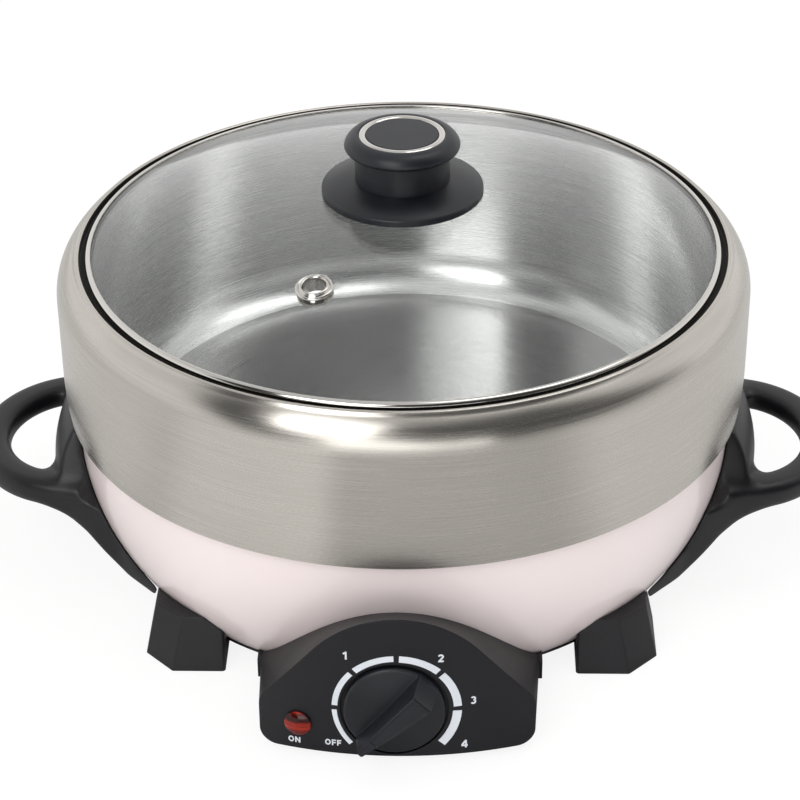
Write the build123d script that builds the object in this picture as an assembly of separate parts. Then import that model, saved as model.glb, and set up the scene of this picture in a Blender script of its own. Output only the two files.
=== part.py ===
from build123d import *
import math
import os

# Electric hot pot: a lift-out steel pot with a glass lid on a round heater base.
# Millimetres, +Z up, the table at z = 0 and the control box towards -Y. Everything is drawn round
# the pot's axis; the last lines move it along Y so that the origin lies under the middle of the object.

# ---- Heights, stacked up from the table ----
pad_stand = 0.4             # how far the rubber pads stand below the feet
foot_lift = 8.0             # table to the underside of the bottom plate
bottom_sheet = 1.5          # bottom plate
hob_top = 50.0              # table to the top of the heating plate
hob_thickness = 9.0
disc_thickness = 4.8        # heat-spreading disc under the pot
pot_wall = 1.2
pot_depth = 94.0            # rim to cooking floor
band_height = 68.0          # rim to the lower edge of the outer band
band_overlap = 9.0          # how far the band hangs over the shell
ledge_depth = 5.5           # rim to the lid's seat

# ---- Pot ----
opening_radius = 140.0
ledge_width = 6.0
corner_radius = 17.0
band_overhang = 10.8        # opening to the band's widest
band_wall = 1.0
band_lip = 2.1              # flat top of the rim before the shoulder starts
shoulder_drop = 15.8        # height of the rounded shoulder
band_tuck = 1.2             # how far the band's lower edge turns in
band_tuck_height = 18.0
bead_radius = 1.3           # rolled edge round the opening
bead_sink = 0.4             # how far the bead's middle lies below the rim
upstand_height = 3.5
disc_inset = 13.0           # disc edge inside the flat part of the floor

# ---- Lid ----
lid_gap = 2.2               # opening to the lid's rim band
rim_band_height = 7.5
rim_sheet = 0.8
rim_lip = 2.6
glass_thickness = 4.0
glass_rise = 25.2
glass_play = 0.1
vent_angle = 245.0
vent_reach = 81.2           # pot axis to the steam vent
vent_bore = 4.9
vent_sleeve = 0.8
vent_flange = 8.2
vent_flange_height = 1.9
vent_hem = 1.2

# ---- Lid knob ----
flange_radius = 34.8
flange_rim = 3.0
flange_rise = 3.2
gasket_thickness = 0.9
gasket_radius = 24.0
neck_radius = 20.3
neck_height = 12.3
grip_radius = 24.8
grip_height = 8.0
trim_radius = 18.5
trim_width = 2.8
trim_height = 1.7
insert_radius = 4.5
insert_length = 12.0
screw_radius = 2.5
screw_head_radius = 4.6
screw_head_height = 2.2
washer_radius = 11.0
washer_thickness = 1.2

# ---- Base shell and well ----
shell_gap = 3.9             # band's inside to the shell
shell_wall = 2.0
shell_equator = 70.0        # height where the bowl is widest
shell_arc = 93.6            # radius of the bowl's side in section
shell_flange = 11.0         # inward flange round the bottom edge
well_gap = 2.8              # pot wall to the well liner
liner_wall = 0.8
liner_corner = 12.0
liner_hob_gap = 2.0

# ---- Heating ----
element_radius = 70.0
element_tube = 3.4
element_gap_angle = 40.0    # open part of the element's ring, at the front
boss_width = 12.0
boss_height = 6.0
terminal_radius = 1.6
terminal_length = 16.0
bushing_radius = 3.0
post_radius = 4.5
post_clearance = 1.5        # between a post and the element's boss
hob_margin = 6.0            # middle of a post to the plate's edge
post_count = 3
post_screw = 1.9            # radius
post_screw_head = 3.6
bulb_radius = 2.5
bulb_length = 40.0
bulb_offset = 30.0
capillary_radius = 0.9
clip_sheet = 0.6
clip_width = 8.0
fuse_radius = 2.0
fuse_length = 12.0

# ---- Feet ----
foot_width = 35.3
foot_depth = 42.9
foot_front_width = 22.8     # flat front face, before the slanted corner
foot_corner = 12.9
foot_share_x = 0.635        # pot axis to the middle of a foot, as a share of the shell's widest radius
foot_share_y = 0.6131
foot_top = 25.0
foot_taper = 5.2
pad_width = 20.0
pad_depth = 16.0
pad_thickness = 1.6
foot_screw_inset_x = 12.65  # middle of a foot to its screw
foot_screw_inset_y = 3.45
foot_screw = 1.9            # radius
foot_screw_head = 3.8
foot_screw_recess = 4.2

# ---- Handles ----
loop_height = 47.2          # table to the middle of the loop
loop_half_width = 41.7
loop_stem = 4.1             # shell's widest to where the loop starts to curve
loop_reach = 37.0
loop_section_width = 15.0
loop_section_height = 14.0  # on the outer side
loop_finger_lift = 4.0      # how much higher the underside is on the inner side
loop_section_round = 4.8
root_reach = 13.0           # start of the loop's curve to where a limb starts to spread
root_length = 22.0          # over which it spreads into the saddle
root_inside = 4.0           # how much wider a limb ends on its inner side
root_outside = 3.5
root_drop = 10.0            # and how much deeper below
root_sections = 6
saddle_top = 75.0
saddle_bottom = 16.0
saddle_bulge = 14.0         # thickness at the height of the loop
saddle_skirt = 8.0          # thickness at the bottom
saddle_lip = 3.0            # thickness at the top
saddle_top_width = 70.0
saddle_neck_width = 98.0    # where the loop's limbs run into the saddle
saddle_knee = 60.0          # sideways reach where the skirt starts to run out
saddle_knee_inset = 21.1    # shell's widest to that place
saddle_toe = 84.0           # where the saddle's ends run out on the shell
saddle_toe_inset = 42.9
handle_screw_spread = 14.0
handle_screw_height = 28.0
handle_screw = 2.0          # radius
handle_screw_head = 3.5

# ---- Control box ----
box_bottom = 4.0
box_height = 66.5
box_half_width = 55.7       # at the front of the face
box_reach = 24.8            # shell's widest to the foot of the face
box_lean = 3.3              # how far the face leans back over its height
box_wall = 2.5
box_corner = 8.0
box_shoulder = 22.6         # bottom to where the sloping flanks start
box_shoulder_round = 12.0
box_flank = 39.75           # straight length of the flanks up to the crest
box_rear_inset = 38.9       # shell's widest to the box's back edge
box_rear_half_width = 59.5
box_rear_height = 31.6
box_rear_shoulder = 6.0
box_rear_round = 2.0
box_rear_flank = 7.19
lug_reach = 60.3            # screw lugs behind the box's sides
lug_length = 12.0
lug_height = 9.0
dial_height = 26.8
scale_radius = 26.3
scale_gap_angle = 5.0
scale_sweep = 270.0
scale_segments = 6
scale_thinnest = 2.0
scale_thickest = 3.6
print_thickness = 0.2
dial_recess = 21.9
dial_offset = -1.0          # knob's axis, sideways from the middle of the box
dial_recess_depth = 2.5
seat_thickness = 2.5
lamp_offset = 40.3
lamp_height = 16.8
lamp_radius = 5.6
lamp_length = 14.0
neon_radius = 2.4

# ---- Control knob and thermostat ----
knob_radius = 20.6
knob_rim = 3.4
knob_wall = 1.8
grip_far_reach = 20.4       # knob's axis to the grip's blunt end
grip_far_height = 13.0      # above the face of the box
grip_far_base = 10.6
grip_far_top = 7.7
grip_tip_reach = 20.0
grip_tip_height = 12.3
grip_tip_base = 5.0
grip_tip_top = 3.0
shaft_radius = 3.0
shaft_length = 26.0
bush_radius = 5.0
nut_size = 12.0             # across flats
nut_thickness = 1.6
thermostat_width = 32.0
thermostat_height = 28.0
thermostat_depth = 22.0

# ---- Power inlet and wiring ----
inlet_width = 34.0
inlet_height = 22.0
inlet_proud = 3.1           # shell's widest to the inlet's outer face
inlet_depth = 32.0
inlet_base = 11.0
socket_width = 25.0
socket_height = 15.0
socket_depth = 17.0
pin_width = 4.0
pin_thickness = 2.0
pin_pitch = 7.0
block_width = 26.0
block_depth = 12.0
block_height = 10.0
block_offset = 34.0
block_proud = 2.1           # shell's widest to the middle of the terminal block
lead_radius = 1.3
lead_height = 23.2
window_width = 44.0         # opening in the shell behind the control box
window_size = 22.0
window_height = 26.0

# ---- Clearances ----
seat_gap = 0.1              # between pieces seated on each other in one body
saddle_gap = 0.3            # between mouldings and the bowl
running_gap = 0.05          # radial, shaft in its bush
drop_gap = 0.3              # below the lid knob's skirt

# ---- Sizes that follow ----
plate_top = foot_lift + bottom_sheet
post_reach = element_radius + boss_width / 2 + post_clearance + post_radius
hob_radius = post_reach + hob_margin
hob_bottom = hob_top - hob_thickness
pot_base = hob_top + disc_thickness
pot_floor = pot_base + pot_wall
rim_height = pot_floor + pot_depth
ledge_height = rim_height - ledge_depth
band_bottom = rim_height - band_height
pot_radius = opening_radius - ledge_width
pot_outer = pot_radius + pot_wall
band_radius = opening_radius + band_overhang
shell_radius = band_radius - band_wall - shell_gap
shell_top = band_bottom + band_overlap
shell_centre = shell_radius - shell_arc
liner_radius = pot_outer + well_gap
liner_floor = hob_bottom - 2.0 * liner_wall
lid_radius = opening_radius - lid_gap
glass_radius = lid_radius - rim_sheet - glass_play
rim_band_top = ledge_height + rim_band_height
lip_radius = lid_radius - rim_lip
lip_height = rim_band_top - rim_sheet - glass_play
glass_top = lip_height + glass_rise
glass_sphere = (lip_radius ** 2 + glass_rise ** 2) / (2.0 * glass_rise)
knob_base = glass_top + gasket_thickness
neck_base = knob_base + flange_rim + flange_rise - 2.1
grip_base = neck_base + neck_height
knob_top = grip_base + grip_height
washer_top = glass_top - glass_thickness - 0.2
element_height = hob_bottom - boss_height + element_tube + 0.4
element_start = 270.0 + element_gap_angle / 2
bulb_height = hob_bottom - seat_gap - bulb_radius
fuse_height = hob_bottom - seat_gap - fuse_radius
foot_reach_x = foot_share_x * shell_radius
foot_reach_y = foot_share_y * shell_radius
foot_screw_x = foot_reach_x - foot_screw_inset_x
foot_screw_y = foot_reach_y - foot_screw_inset_y
loop_root = shell_radius + loop_stem
saddle_knee_reach = shell_radius - saddle_knee_inset
saddle_toe_reach = shell_radius - saddle_toe_inset
box_face = shell_radius + box_reach
box_rear = shell_radius - box_rear_inset
box_lean_angle = math.degrees(math.atan(box_lean / box_height))
seat_back = -dial_recess_depth - seat_thickness
inlet_face = shell_radius + inlet_proud
inlet_middle = inlet_base + inlet_height / 2
block_y = -shell_radius - block_proud
block_low = box_bottom + bottom_sheet

os.makedirs("parts", exist_ok=True)


def bowl_radius(height, offset=0.0):
    """Radius of the bowl's outside at a height, moved out by offset."""
    drop = max(shell_equator - height, 0.0)
    return shell_centre + math.sqrt((shell_arc + offset) ** 2 - drop ** 2)


def turned(*edges):
    """Solid of revolution about Z from a closed outline given as (radius, height) edges."""
    return revolve(Plane.XZ * make_face(Curve() + list(edges)), Axis.Z)


def turned_points(*points):
    """Solid of revolution about Z from a closed polygon of (radius, height) points."""
    return revolve(Plane.XZ * make_face(Polyline(*points, close=True)), Axis.Z)


def tube_ring(inner, outer, low, high):
    """Plain ring about Z."""
    return turned_points((inner, low), (outer, low), (outer, high), (inner, high))


def rod(radius, low, high):
    """Plain round bar along Z from low to high."""
    return Pos(0, 0, (low + high) / 2) * Cylinder(radius, high - low)


def crown(radius, base, rise):
    """Arc of a domed top, from its edge at a radius and a base height to the axis."""
    sphere = (radius ** 2 + rise ** 2) / (2.0 * rise)
    middle = base + rise - sphere + math.sqrt(sphere ** 2 - radius ** 2 / 4)
    return ThreePointArc((radius, base), (radius / 2, middle), (0, base + rise))


def group(solids):
    """Several separate solids as one compound."""
    return Compound([solid for piece in solids for solid in piece.solids()])


# ---- Lid ----

def dome_height(radius):
    """Height of the glass's upper face at a radius."""
    return glass_top - glass_sphere + math.sqrt(glass_sphere ** 2 - radius ** 2)


def dome_place(radius, angle):
    """Frame on the glass's upper face, its z axis square to the glass."""
    slope = math.degrees(math.asin(radius / glass_sphere))
    return Rot(0, 0, angle) * Pos(radius, 0, dome_height(radius)) * Rot(0, slope, 0)


def dome_band(radius, lower):
    """Arc of the glass's section from the edge to the axis, moved down by lower."""
    return ThreePointArc(
        (radius, dome_height(radius) - lower),
        (radius / 2, dome_height(radius / 2) - lower),
        (0, dome_height(0) - lower),
    )


def lid_glass():
    edge = dome_height(glass_radius)
    blank = turned(
        dome_band(glass_radius, 0),
        Line((0, glass_top), (0, glass_top - glass_thickness)),
        dome_band(glass_radius, glass_thickness),
        Line((glass_radius, edge - glass_thickness), (glass_radius, edge)),
    )
    vent_hole = dome_place(vent_reach, vent_angle) * Cylinder(vent_bore + vent_sleeve + glass_play, 20)
    return blank - rod(screw_radius + 1.2, glass_top - 20, glass_top + 20) - vent_hole


def lid_rim_band():
    outer = lid_radius
    inner = outer - rim_sheet
    low = dome_height(glass_radius) - glass_thickness - glass_play
    return turned_points(
        (inner, ledge_height),
        (outer, ledge_height),
        (outer, rim_band_top - rim_sheet),
        (outer - rim_sheet / 2, rim_band_top),
        (lip_radius, rim_band_top),
        (lip_radius, rim_band_top - rim_sheet),
        (inner, rim_band_top - rim_sheet),
        (inner, low),
        (lip_radius, low),
        (lip_radius, low - rim_sheet),
        (inner, low - rim_sheet),
    )


def steam_vent():
    sleeve = vent_bore + vent_sleeve
    under = -glass_thickness - glass_play
    top = vent_flange_height
    eyelet = turned(
        Line((vent_bore, under - vent_hem), (vent_bore, top - 0.6)),
        ThreePointArc(
            (vent_bore, top - 0.6),
            (vent_bore + 0.3, top),
            (vent_bore + 0.9, top),
        ),
        Line((vent_bore + 0.9, top), (vent_flange - 1.6, top - 0.5)),
        ThreePointArc(
            (vent_flange - 1.6, top - 0.5),
            (vent_flange - 0.3, top - 1.0),
            (vent_flange, glass_play),
        ),
        Polyline(
            (vent_flange, glass_play),
            (sleeve, glass_play),
            (sleeve, under),
            (vent_flange - 0.6, under),
            (vent_flange - 0.6, under - vent_hem),
            (vent_bore, under - vent_hem),
        ),
    )
    return dome_place(vent_reach, vent_angle) * eyelet


def knob_gasket():
    return turned(
        Line((screw_radius + 0.4, dome_height(screw_radius)), (screw_radius + 0.4, knob_base)),
        Line((screw_radius + 0.4, knob_base), (gasket_radius, knob_base)),
        Line((gasket_radius, knob_base), (gasket_radius, dome_height(gasket_radius))),
        ThreePointArc(
            (gasket_radius, dome_height(gasket_radius)),
            (gasket_radius / 2, dome_height(gasket_radius / 2)),
            (screw_radius + 0.4, dome_height(screw_radius)),
        ),
    )


def knob_flange():
    skirt = dome_height(flange_radius) + drop_gap
    rim_top = skirt + flange_rim
    return turned(
        Polyline(
            (neck_radius + seat_gap, neck_base),
            (screw_radius + 0.4, neck_base),
            (screw_radius + 0.4, knob_base),
            (gasket_radius + 1.0, knob_base),
            (flange_radius - 2.5, knob_base),
            (flange_radius - 2.0, skirt),
            (flange_radius, skirt),
            (flange_radius, rim_top - 1.0),
        ),
        ThreePointArc(
            (flange_radius, rim_top - 1.0),
            (flange_radius - 0.3, rim_top - 0.3),
            (flange_radius - 1.0, rim_top),
        ),
        ThreePointArc(
            (flange_radius - 1.0, rim_top),
            ((flange_radius + neck_radius) / 2, (rim_top + neck_base) / 2 + 0.5),
            (neck_radius + seat_gap, neck_base),
        ),
    )


def knob_grip():
    seat = knob_top - trim_height + 0.3
    body = turned(
        Polyline((screw_radius + 0.4, neck_base), (neck_radius, neck_base), (neck_radius, grip_base)),
        ThreePointArc(
            (neck_radius, grip_base),
            (neck_radius + 0.6, grip_base + 0.9),
            (grip_radius - 1.5, grip_base + 1.6),
        ),
        ThreePointArc(
            (grip_radius - 1.5, grip_base + 1.6),
            (grip_radius - 0.4, grip_base + 2.2),
            (grip_radius, grip_base + 3.4),
        ),
        ThreePointArc(
            (grip_radius, grip_base + 3.4),
            (grip_radius - 1.7, knob_top - 1.7),
            (trim_radius + 0.9, knob_top),
        ),
        Polyline(
            (trim_radius + 0.9, knob_top),
            (trim_radius + seat_gap, knob_top),
            (trim_radius + seat_gap, seat),
            (0, seat),
            (0, neck_base + 1.5 + insert_length),
            (insert_radius + seat_gap, neck_base + 1.5 + insert_length),
            (insert_radius + seat_gap, neck_base + 1.5),
            (screw_radius + 0.4, neck_base + 1.5),
            (screw_radius + 0.4, neck_base),
        ),
    )
    return body


def knob_trim_ring():
    seat = knob_top - trim_height + 0.3
    inner = trim_radius - trim_width
    return turned(
        Polyline((inner, seat + trim_height - 0.6), (inner, seat), (trim_radius, seat)),
        Line((trim_radius, seat), (trim_radius, seat + trim_height - 0.6)),
        ThreePointArc(
            (trim_radius, seat + trim_height - 0.6),
            (trim_radius - trim_width / 2, seat + trim_height),
            (inner, seat + trim_height - 0.6),
        ),
    )


def knob_cap():
    seat = knob_top - trim_height + 0.3
    edge = trim_radius - trim_width - seat_gap
    return turned_points(
        (0, seat),
        (edge, seat),
        (edge, knob_top - 0.5),
        (edge - 0.4, knob_top - 0.1),
        (0, knob_top),
    )


def knob_insert():
    low = neck_base + 1.5
    return tube_ring(screw_radius + running_gap, insert_radius, low, low + insert_length - seat_gap)


def knob_washer():
    return tube_ring(screw_radius + 0.2, washer_radius, washer_top - washer_thickness, washer_top)


def knob_screw():
    head_top = washer_top - washer_thickness
    shank = rod(screw_radius, head_top, neck_base + insert_length)
    head = rod(screw_head_radius, head_top - screw_head_height, head_top)
    slot = Pos(0, 0, head_top - screw_head_height) * Box(2 * screw_head_radius, 1.0, 2.0)
    return shank + head - slot


# ---- Pot ----

def pot_section_corner(inset):
    """Arc of the pot's lower corner, moved inwards from the outside by inset."""
    radius = corner_radius + pot_wall - inset
    centre = (pot_radius - corner_radius, pot_floor + corner_radius)
    return CenterArc(centre, radius, 270, 90)


def pot_inner():
    flat = pot_radius - corner_radius
    return turned(
        Line((0, pot_floor), (flat, pot_floor)),
        pot_section_corner(pot_wall),
        Polyline(
            (pot_radius, pot_floor + corner_radius),
            (pot_radius, ledge_height),
            (opening_radius, ledge_height),
            (opening_radius, ledge_height + upstand_height),
            (opening_radius + pot_wall, ledge_height + upstand_height),
            (opening_radius + pot_wall, ledge_height - pot_wall),
            (pot_outer, ledge_height - pot_wall),
            (pot_outer, pot_floor + corner_radius),
        ),
        pot_section_corner(0),
        Line((flat, pot_base), (0, pot_base)),
        Line((0, pot_base), (0, pot_floor)),
    )


def band_edges(inset):
    """Outer section of the band, from the flat lip to the lower edge, moved in by inset."""
    lip = opening_radius + band_lip
    wide = band_radius - inset
    top = rim_height - inset
    shoulder = rim_height - shoulder_drop
    tuck = band_bottom + band_tuck_height
    return [
        TangentArc((wide, shoulder), (lip, top), tangent=(0, 1)),
        Line((wide, shoulder), (wide, tuck)),
        ThreePointArc(
            (wide, tuck),
            (wide - 0.25 * band_tuck, (tuck + band_bottom) / 2),
            (wide - band_tuck, band_bottom),
        ),
    ]


def pot_band():
    seat = ledge_height + upstand_height
    lip = opening_radius + band_lip
    sheet = turned(
        Line((opening_radius, rim_height), (lip, rim_height)),
        *band_edges(0),
        Line((band_radius - band_tuck, band_bottom), (band_radius - band_wall - band_tuck, band_bottom)),
        *band_edges(band_wall),
        Polyline(
            (lip, rim_height - band_wall),
            (opening_radius + pot_wall, rim_height - band_wall),
            (opening_radius + pot_wall, seat),
            (opening_radius, seat),
            (opening_radius, rim_height),
        ),
    )
    bead_centre = (opening_radius + bead_radius, rim_height - bead_sink)
    bead = revolve(Plane.XZ * Pos(*bead_centre) * Circle(bead_radius), Axis.Z)
    return sheet + bead


def pot_disc():
    edge = pot_radius - corner_radius - disc_inset
    return turned_points(
        (0, hob_top),
        (edge - 2.0, hob_top),
        (edge, hob_top + 2.0),
        (edge, pot_base),
        (0, pot_base),
    )


# ---- Base shell and well ----

def bowl_arc(offset, low):
    """Arc of the bowl's section from low up to the equator, moved out by offset."""
    middle = (low + shell_equator) / 2
    return ThreePointArc(
        (bowl_radius(low, offset), low),
        (bowl_radius(middle, offset), middle),
        (bowl_radius(shell_equator, offset), shell_equator),
    )


def bowl_solid(offset):
    """The whole base with its bottom plate as a filled solid, grown by offset."""
    wide = bowl_radius(shell_equator, offset)
    edge = bowl_radius(plate_top, offset)
    return turned(
        bowl_arc(offset, plate_top),
        Polyline((wide, shell_equator), (wide, shell_top), (0, shell_top), (0, foot_lift), (edge, foot_lift),
                 (edge, plate_top)),
    )


def base_shell():
    inner_low = plate_top + shell_wall
    wide = shell_radius - shell_wall
    flange_edge = bowl_radius(plate_top) - shell_flange
    body = turned(
        bowl_arc(0, plate_top),
        Polyline((shell_radius, shell_equator), (shell_radius, shell_top), (wide, shell_top),
                 (wide, shell_equator)),
        bowl_arc(-shell_wall, inner_low),
        Polyline((bowl_radius(inner_low, -shell_wall), inner_low), (flange_edge, inner_low),
                 (flange_edge, plate_top), (bowl_radius(plate_top), plate_top)),
    )
    window = Pos(0, -shell_radius, window_height) * Box(window_width, 60, window_size)
    inlet_hole = Pos(0, shell_radius, inlet_base + inlet_height / 2) * Box(
        inlet_width + 2 * saddle_gap, 60, inlet_height + 2 * saddle_gap)
    body -= window + inlet_hole
    for x, y in foot_screw_places():
        body -= Pos(x, y, plate_top) * Cylinder(foot_screw + 0.2, 3 * shell_wall)
    for place in handle_screw_places():
        body -= place * Cylinder(handle_screw + 0.2, 60)
    return body


def well_liner():
    outer = liner_radius + liner_wall
    hole = hob_radius + liner_hob_gap
    corner = (liner_radius - liner_corner, liner_floor + liner_wall + liner_corner)
    flange = shell_top + liner_wall
    return turned(
        Polyline((hole, liner_floor + liner_wall), (corner[0], liner_floor + liner_wall)),
        CenterArc(corner, liner_corner, 270, 90),
        Polyline((liner_radius, corner[1]), (liner_radius, flange), (shell_radius, flange),
                 (shell_radius, shell_top), (outer, shell_top), (outer, corner[1])),
        CenterArc(corner, liner_corner + liner_wall, 270, 90),
        Polyline((corner[0], liner_floor), (hole, liner_floor), (hole, liner_floor + liner_wall)),
    )


# ---- Heating ----

def ring_places(count, reach, start):
    """Places round the axis, evenly spaced, as (x, y)."""
    angles = [math.radians(start + 360.0 * turn / count) for turn in range(count)]
    return [(reach * math.cos(angle), reach * math.sin(angle)) for angle in angles]


def heating_plate():
    plate = turned_points(
        (0, hob_bottom),
        (hob_radius, hob_bottom),
        (hob_radius, hob_top - 1.5),
        (hob_radius - 1.5, hob_top),
        (0, hob_top),
    )
    boss = tube_ring(element_radius - boss_width / 2, element_radius + boss_width / 2,
                     hob_bottom - boss_height, hob_bottom)
    groove = Pos(0, 0, element_height) * Torus(element_radius, element_tube + seat_gap)
    slot = tube_ring(element_radius - element_tube - seat_gap, element_radius + element_tube + seat_gap,
                     hob_bottom - boss_height, element_height)
    plate = plate + boss - groove - slot
    for x, y in ring_places(post_count, post_reach, 90):
        plate -= Pos(x, y, hob_bottom) * Cylinder(post_screw + 0.1, 10)
    return plate


def heating_element():
    path = Pos(0, 0, element_height) * CenterArc((0, 0), element_radius, element_start, 360 - element_gap_angle)
    section = Plane(origin=path @ 0, z_dir=path % 0) * Circle(element_tube)
    return sweep(section, path=path)


def terminal_places():
    """Ends of the element, as (x, y), left end first."""
    half = math.radians(element_gap_angle / 2 - 4.0)
    return [(side * element_radius * math.sin(half), -element_radius * math.cos(half)) for side in (-1, 1)]


def element_terminals():
    low = element_height - terminal_length
    return group(Pos(x, y, 0) * rod(terminal_radius, low, element_height) for x, y in terminal_places())


def terminal_bushings():
    low = element_height - 9.0
    ring = rod(bushing_radius, low, low + 5.0) - rod(terminal_radius + running_gap, low - 1, low + 6)
    return group(Pos(x, y, 0) * ring for x, y in terminal_places())


def plate_posts():
    post = rod(post_radius, plate_top, hob_bottom) - rod(post_screw + running_gap, plate_top - 1, hob_bottom + 1)
    return group(Pos(x, y, 0) * post for x, y in ring_places(post_count, post_reach, 90))


def post_screws():
    screw = rod(post_screw, foot_lift, hob_bottom + 4.0) + rod(post_screw_head, foot_lift - 2.0, foot_lift)
    return group(Pos(x, y, 0) * screw for x, y in ring_places(post_count, post_reach, 90))


def sensor_bulb():
    return Pos(0, -bulb_offset, bulb_height) * Rot(0, 90, 0) * Cylinder(bulb_radius, bulb_length)


def saddle_clip(radius, height):
    """Strap of thin sheet under a round piece that lies along X, with two flat ears on the plate."""
    outer = radius + seat_gap + clip_sheet
    hoop = Rot(0, 90, 0) * (Cylinder(outer, clip_width) - Cylinder(radius + seat_gap, clip_width + 1))
    hoop = hoop - Pos(0, 0, outer) * Box(clip_width + 2, 4 * outer, 2 * outer)
    wall = hob_bottom - height
    sides = [
        Pos(0, side * (outer - clip_sheet / 2), wall / 2) * Box(clip_width, clip_sheet, wall)
        for side in (-1, 1)
    ]
    ears = [
        Pos(0, side * (outer + 3.0 - clip_sheet), wall - clip_sheet / 2) * Box(clip_width, 6.0, clip_sheet)
        for side in (-1, 1)
    ]
    return hoop + sides + ears


def bulb_clip():
    return Pos(0, -bulb_offset, bulb_height) * saddle_clip(bulb_radius, bulb_height)


def thermal_fuse():
    return Pos(0, bulb_offset, fuse_height) * Rot(0, 90, 0) * Cylinder(fuse_radius, fuse_length)


def fuse_clip():
    return Pos(0, bulb_offset, fuse_height) * saddle_clip(fuse_radius, fuse_height)


def tube_along(radius, bend, *points):
    """Round tube along straight runs joined by arcs of one bend radius."""
    path = FilletPolyline(*points, radius=bend)
    return sweep(Plane(origin=path @ 0, z_dir=path % 0) * Circle(radius), path=path)


def capillary():
    bulb_end = (-bulb_length / 2 - seat_gap, -bulb_offset, bulb_height)
    low = lead_height - 6.0
    back = thermostat_back()
    return tube_along(
        capillary_radius, 5.0,
        bulb_end,
        (bulb_end[0] - 12.0, -bulb_offset, bulb_height),
        (bulb_end[0] - 12.0, -bulb_offset, low),
        (bulb_end[0] - 12.0, -bulb_offset - 30.0, low),
        (-6.0, -bowl_radius(low) + 30.0, low),
        (-6.0, back - 0.1, low),
    )


# ---- Bottom plate and feet ----

def foot_signs():
    return [(side, end) for end in (-1, 1) for side in (-1, 1)]


def foot_screw_places():
    return [(side * foot_screw_x, end * foot_screw_y) for side, end in foot_signs()]


def bottom_plate():
    plate = tube_ring(0.0, bowl_radius(plate_top) - seat_gap, foot_lift, plate_top)
    slot = Pos(0, 0, foot_lift) * extrude(SlotOverall(26, 4), 2 * bottom_sheet)
    for row in range(-3, 4):
        for column in (-1, 1):
            plate -= Pos(column * 20, row * 11, -bottom_sheet / 2) * slot
    for x, y in foot_screw_places():
        plate -= Pos(x, y, foot_lift) * Cylinder(foot_screw + 0.1, 4 * bottom_sheet)
    for x, y in ring_places(post_count, post_reach, 90):
        plate -= Pos(x, y, foot_lift) * Cylinder(post_screw + 0.1, 4 * bottom_sheet)
    return plate


def foot_outline(taper):
    """Plan of the front right foot; its front and outer sides drawn in by taper."""
    grown = max(-taper, 0)
    inner = foot_reach_x - foot_width / 2 - grown
    outer = foot_reach_x + foot_width / 2 - taper
    front = -foot_reach_y - foot_depth / 2 + taper
    back = -foot_reach_y + foot_depth / 2 + grown
    corner = inner + foot_front_width - taper
    return make_face(Polyline(
        (inner, front), (corner, front), (outer, front + foot_corner - taper / 2), (outer, back),
        (inner, back), close=True))


def foot_block(grown):
    """The front right foot as a plain block, its sides moved out by grown."""
    block = loft([
        Pos(0, 0, pad_stand) * foot_outline(-grown),
        Pos(0, 0, foot_top) * foot_outline(foot_taper - grown),
    ], ruled=True)
    uprights = [edge for edge in block.edges() if abs(edge.tangent_at(0.5).Z) > 0.9]
    return fillet(uprights, 1.5)


def front_right_foot():
    recess = Pos(foot_screw_x, -foot_screw_y, 0) * rod(foot_screw_recess, 0, foot_lift - 3.0)
    hole = Pos(foot_screw_x, -foot_screw_y, 0) * rod(foot_screw + 0.1, 0, foot_top)
    return foot_block(0) - bowl_solid(saddle_gap) - recess - hole - pad_place(1, -1) * pad_block(seat_gap)


def foot(side, end):
    piece = front_right_foot()
    if side < 0:
        piece = mirror(piece, Plane.YZ)
    if end > 0:
        piece = mirror(piece, Plane.XZ)
    return piece


def pad_place(side, end):
    return Pos(side * (foot_reach_x + 1.0), end * (foot_reach_y + 1.0), 0)


def pad_block(grown):
    """A foot's rubber pad, made larger by grown for the pocket that takes it."""
    outline = RectangleRounded(pad_width + 2 * grown, pad_depth + 2 * grown, 4.0)
    return extrude(outline, pad_thickness + grown)


def foot_pads():
    return group(
        pad_place(side, end) * pad_block(0) - Pos(x, y, 0) * rod(foot_screw_recess, -1, 2)
        for (side, end), (x, y) in zip(foot_signs(), foot_screw_places())
    )


def foot_screws():
    seat = foot_lift - 3.0
    screw = rod(foot_screw, seat, plate_top + shell_wall + 3.0) + rod(foot_screw_head, seat - 2.2, seat)
    return group(Pos(x, y, 0) * screw for x, y in foot_screw_places())


# ---- Handles ----

def handle_screw_places():
    """Frames whose z axis is a handle screw's axis, at the bowl's side."""
    return [
        Pos(side * shell_radius, y, handle_screw_height) * Rot(0, 90, 0)
        for side in (-1, 1)
        for y in (-handle_screw_spread, handle_screw_spread)
    ]


def saddle_thickness(height):
    """Thickness of the saddle over the bowl at a height: fullest at the loop."""
    if height > loop_height:
        share = (height - loop_height) / (saddle_top - loop_height)
        return saddle_bulge + (saddle_lip - saddle_bulge) * share ** 2
    share = (loop_height - height) / (loop_height - saddle_bottom)
    return saddle_bulge + (saddle_skirt - saddle_bulge) * share


def loop_section(spread=0.0, sunk=0.0):
    """Section of the loop, inner side to +X: flat on top, its underside rising inwards; grown by spread."""
    inner = loop_section_width / 2 + root_inside * spread - sunk
    outer = loop_section_width / 2 + root_outside * spread - sunk
    high = loop_section_height / 2 - sunk
    low = loop_section_height / 2 + root_drop * spread - sunk
    face = make_face(Polyline(
        (-outer, -low), (inner, loop_finger_lift - low), (inner, high), (-outer, high), close=True))
    return fillet(face.vertices(), loop_section_round)


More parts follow.
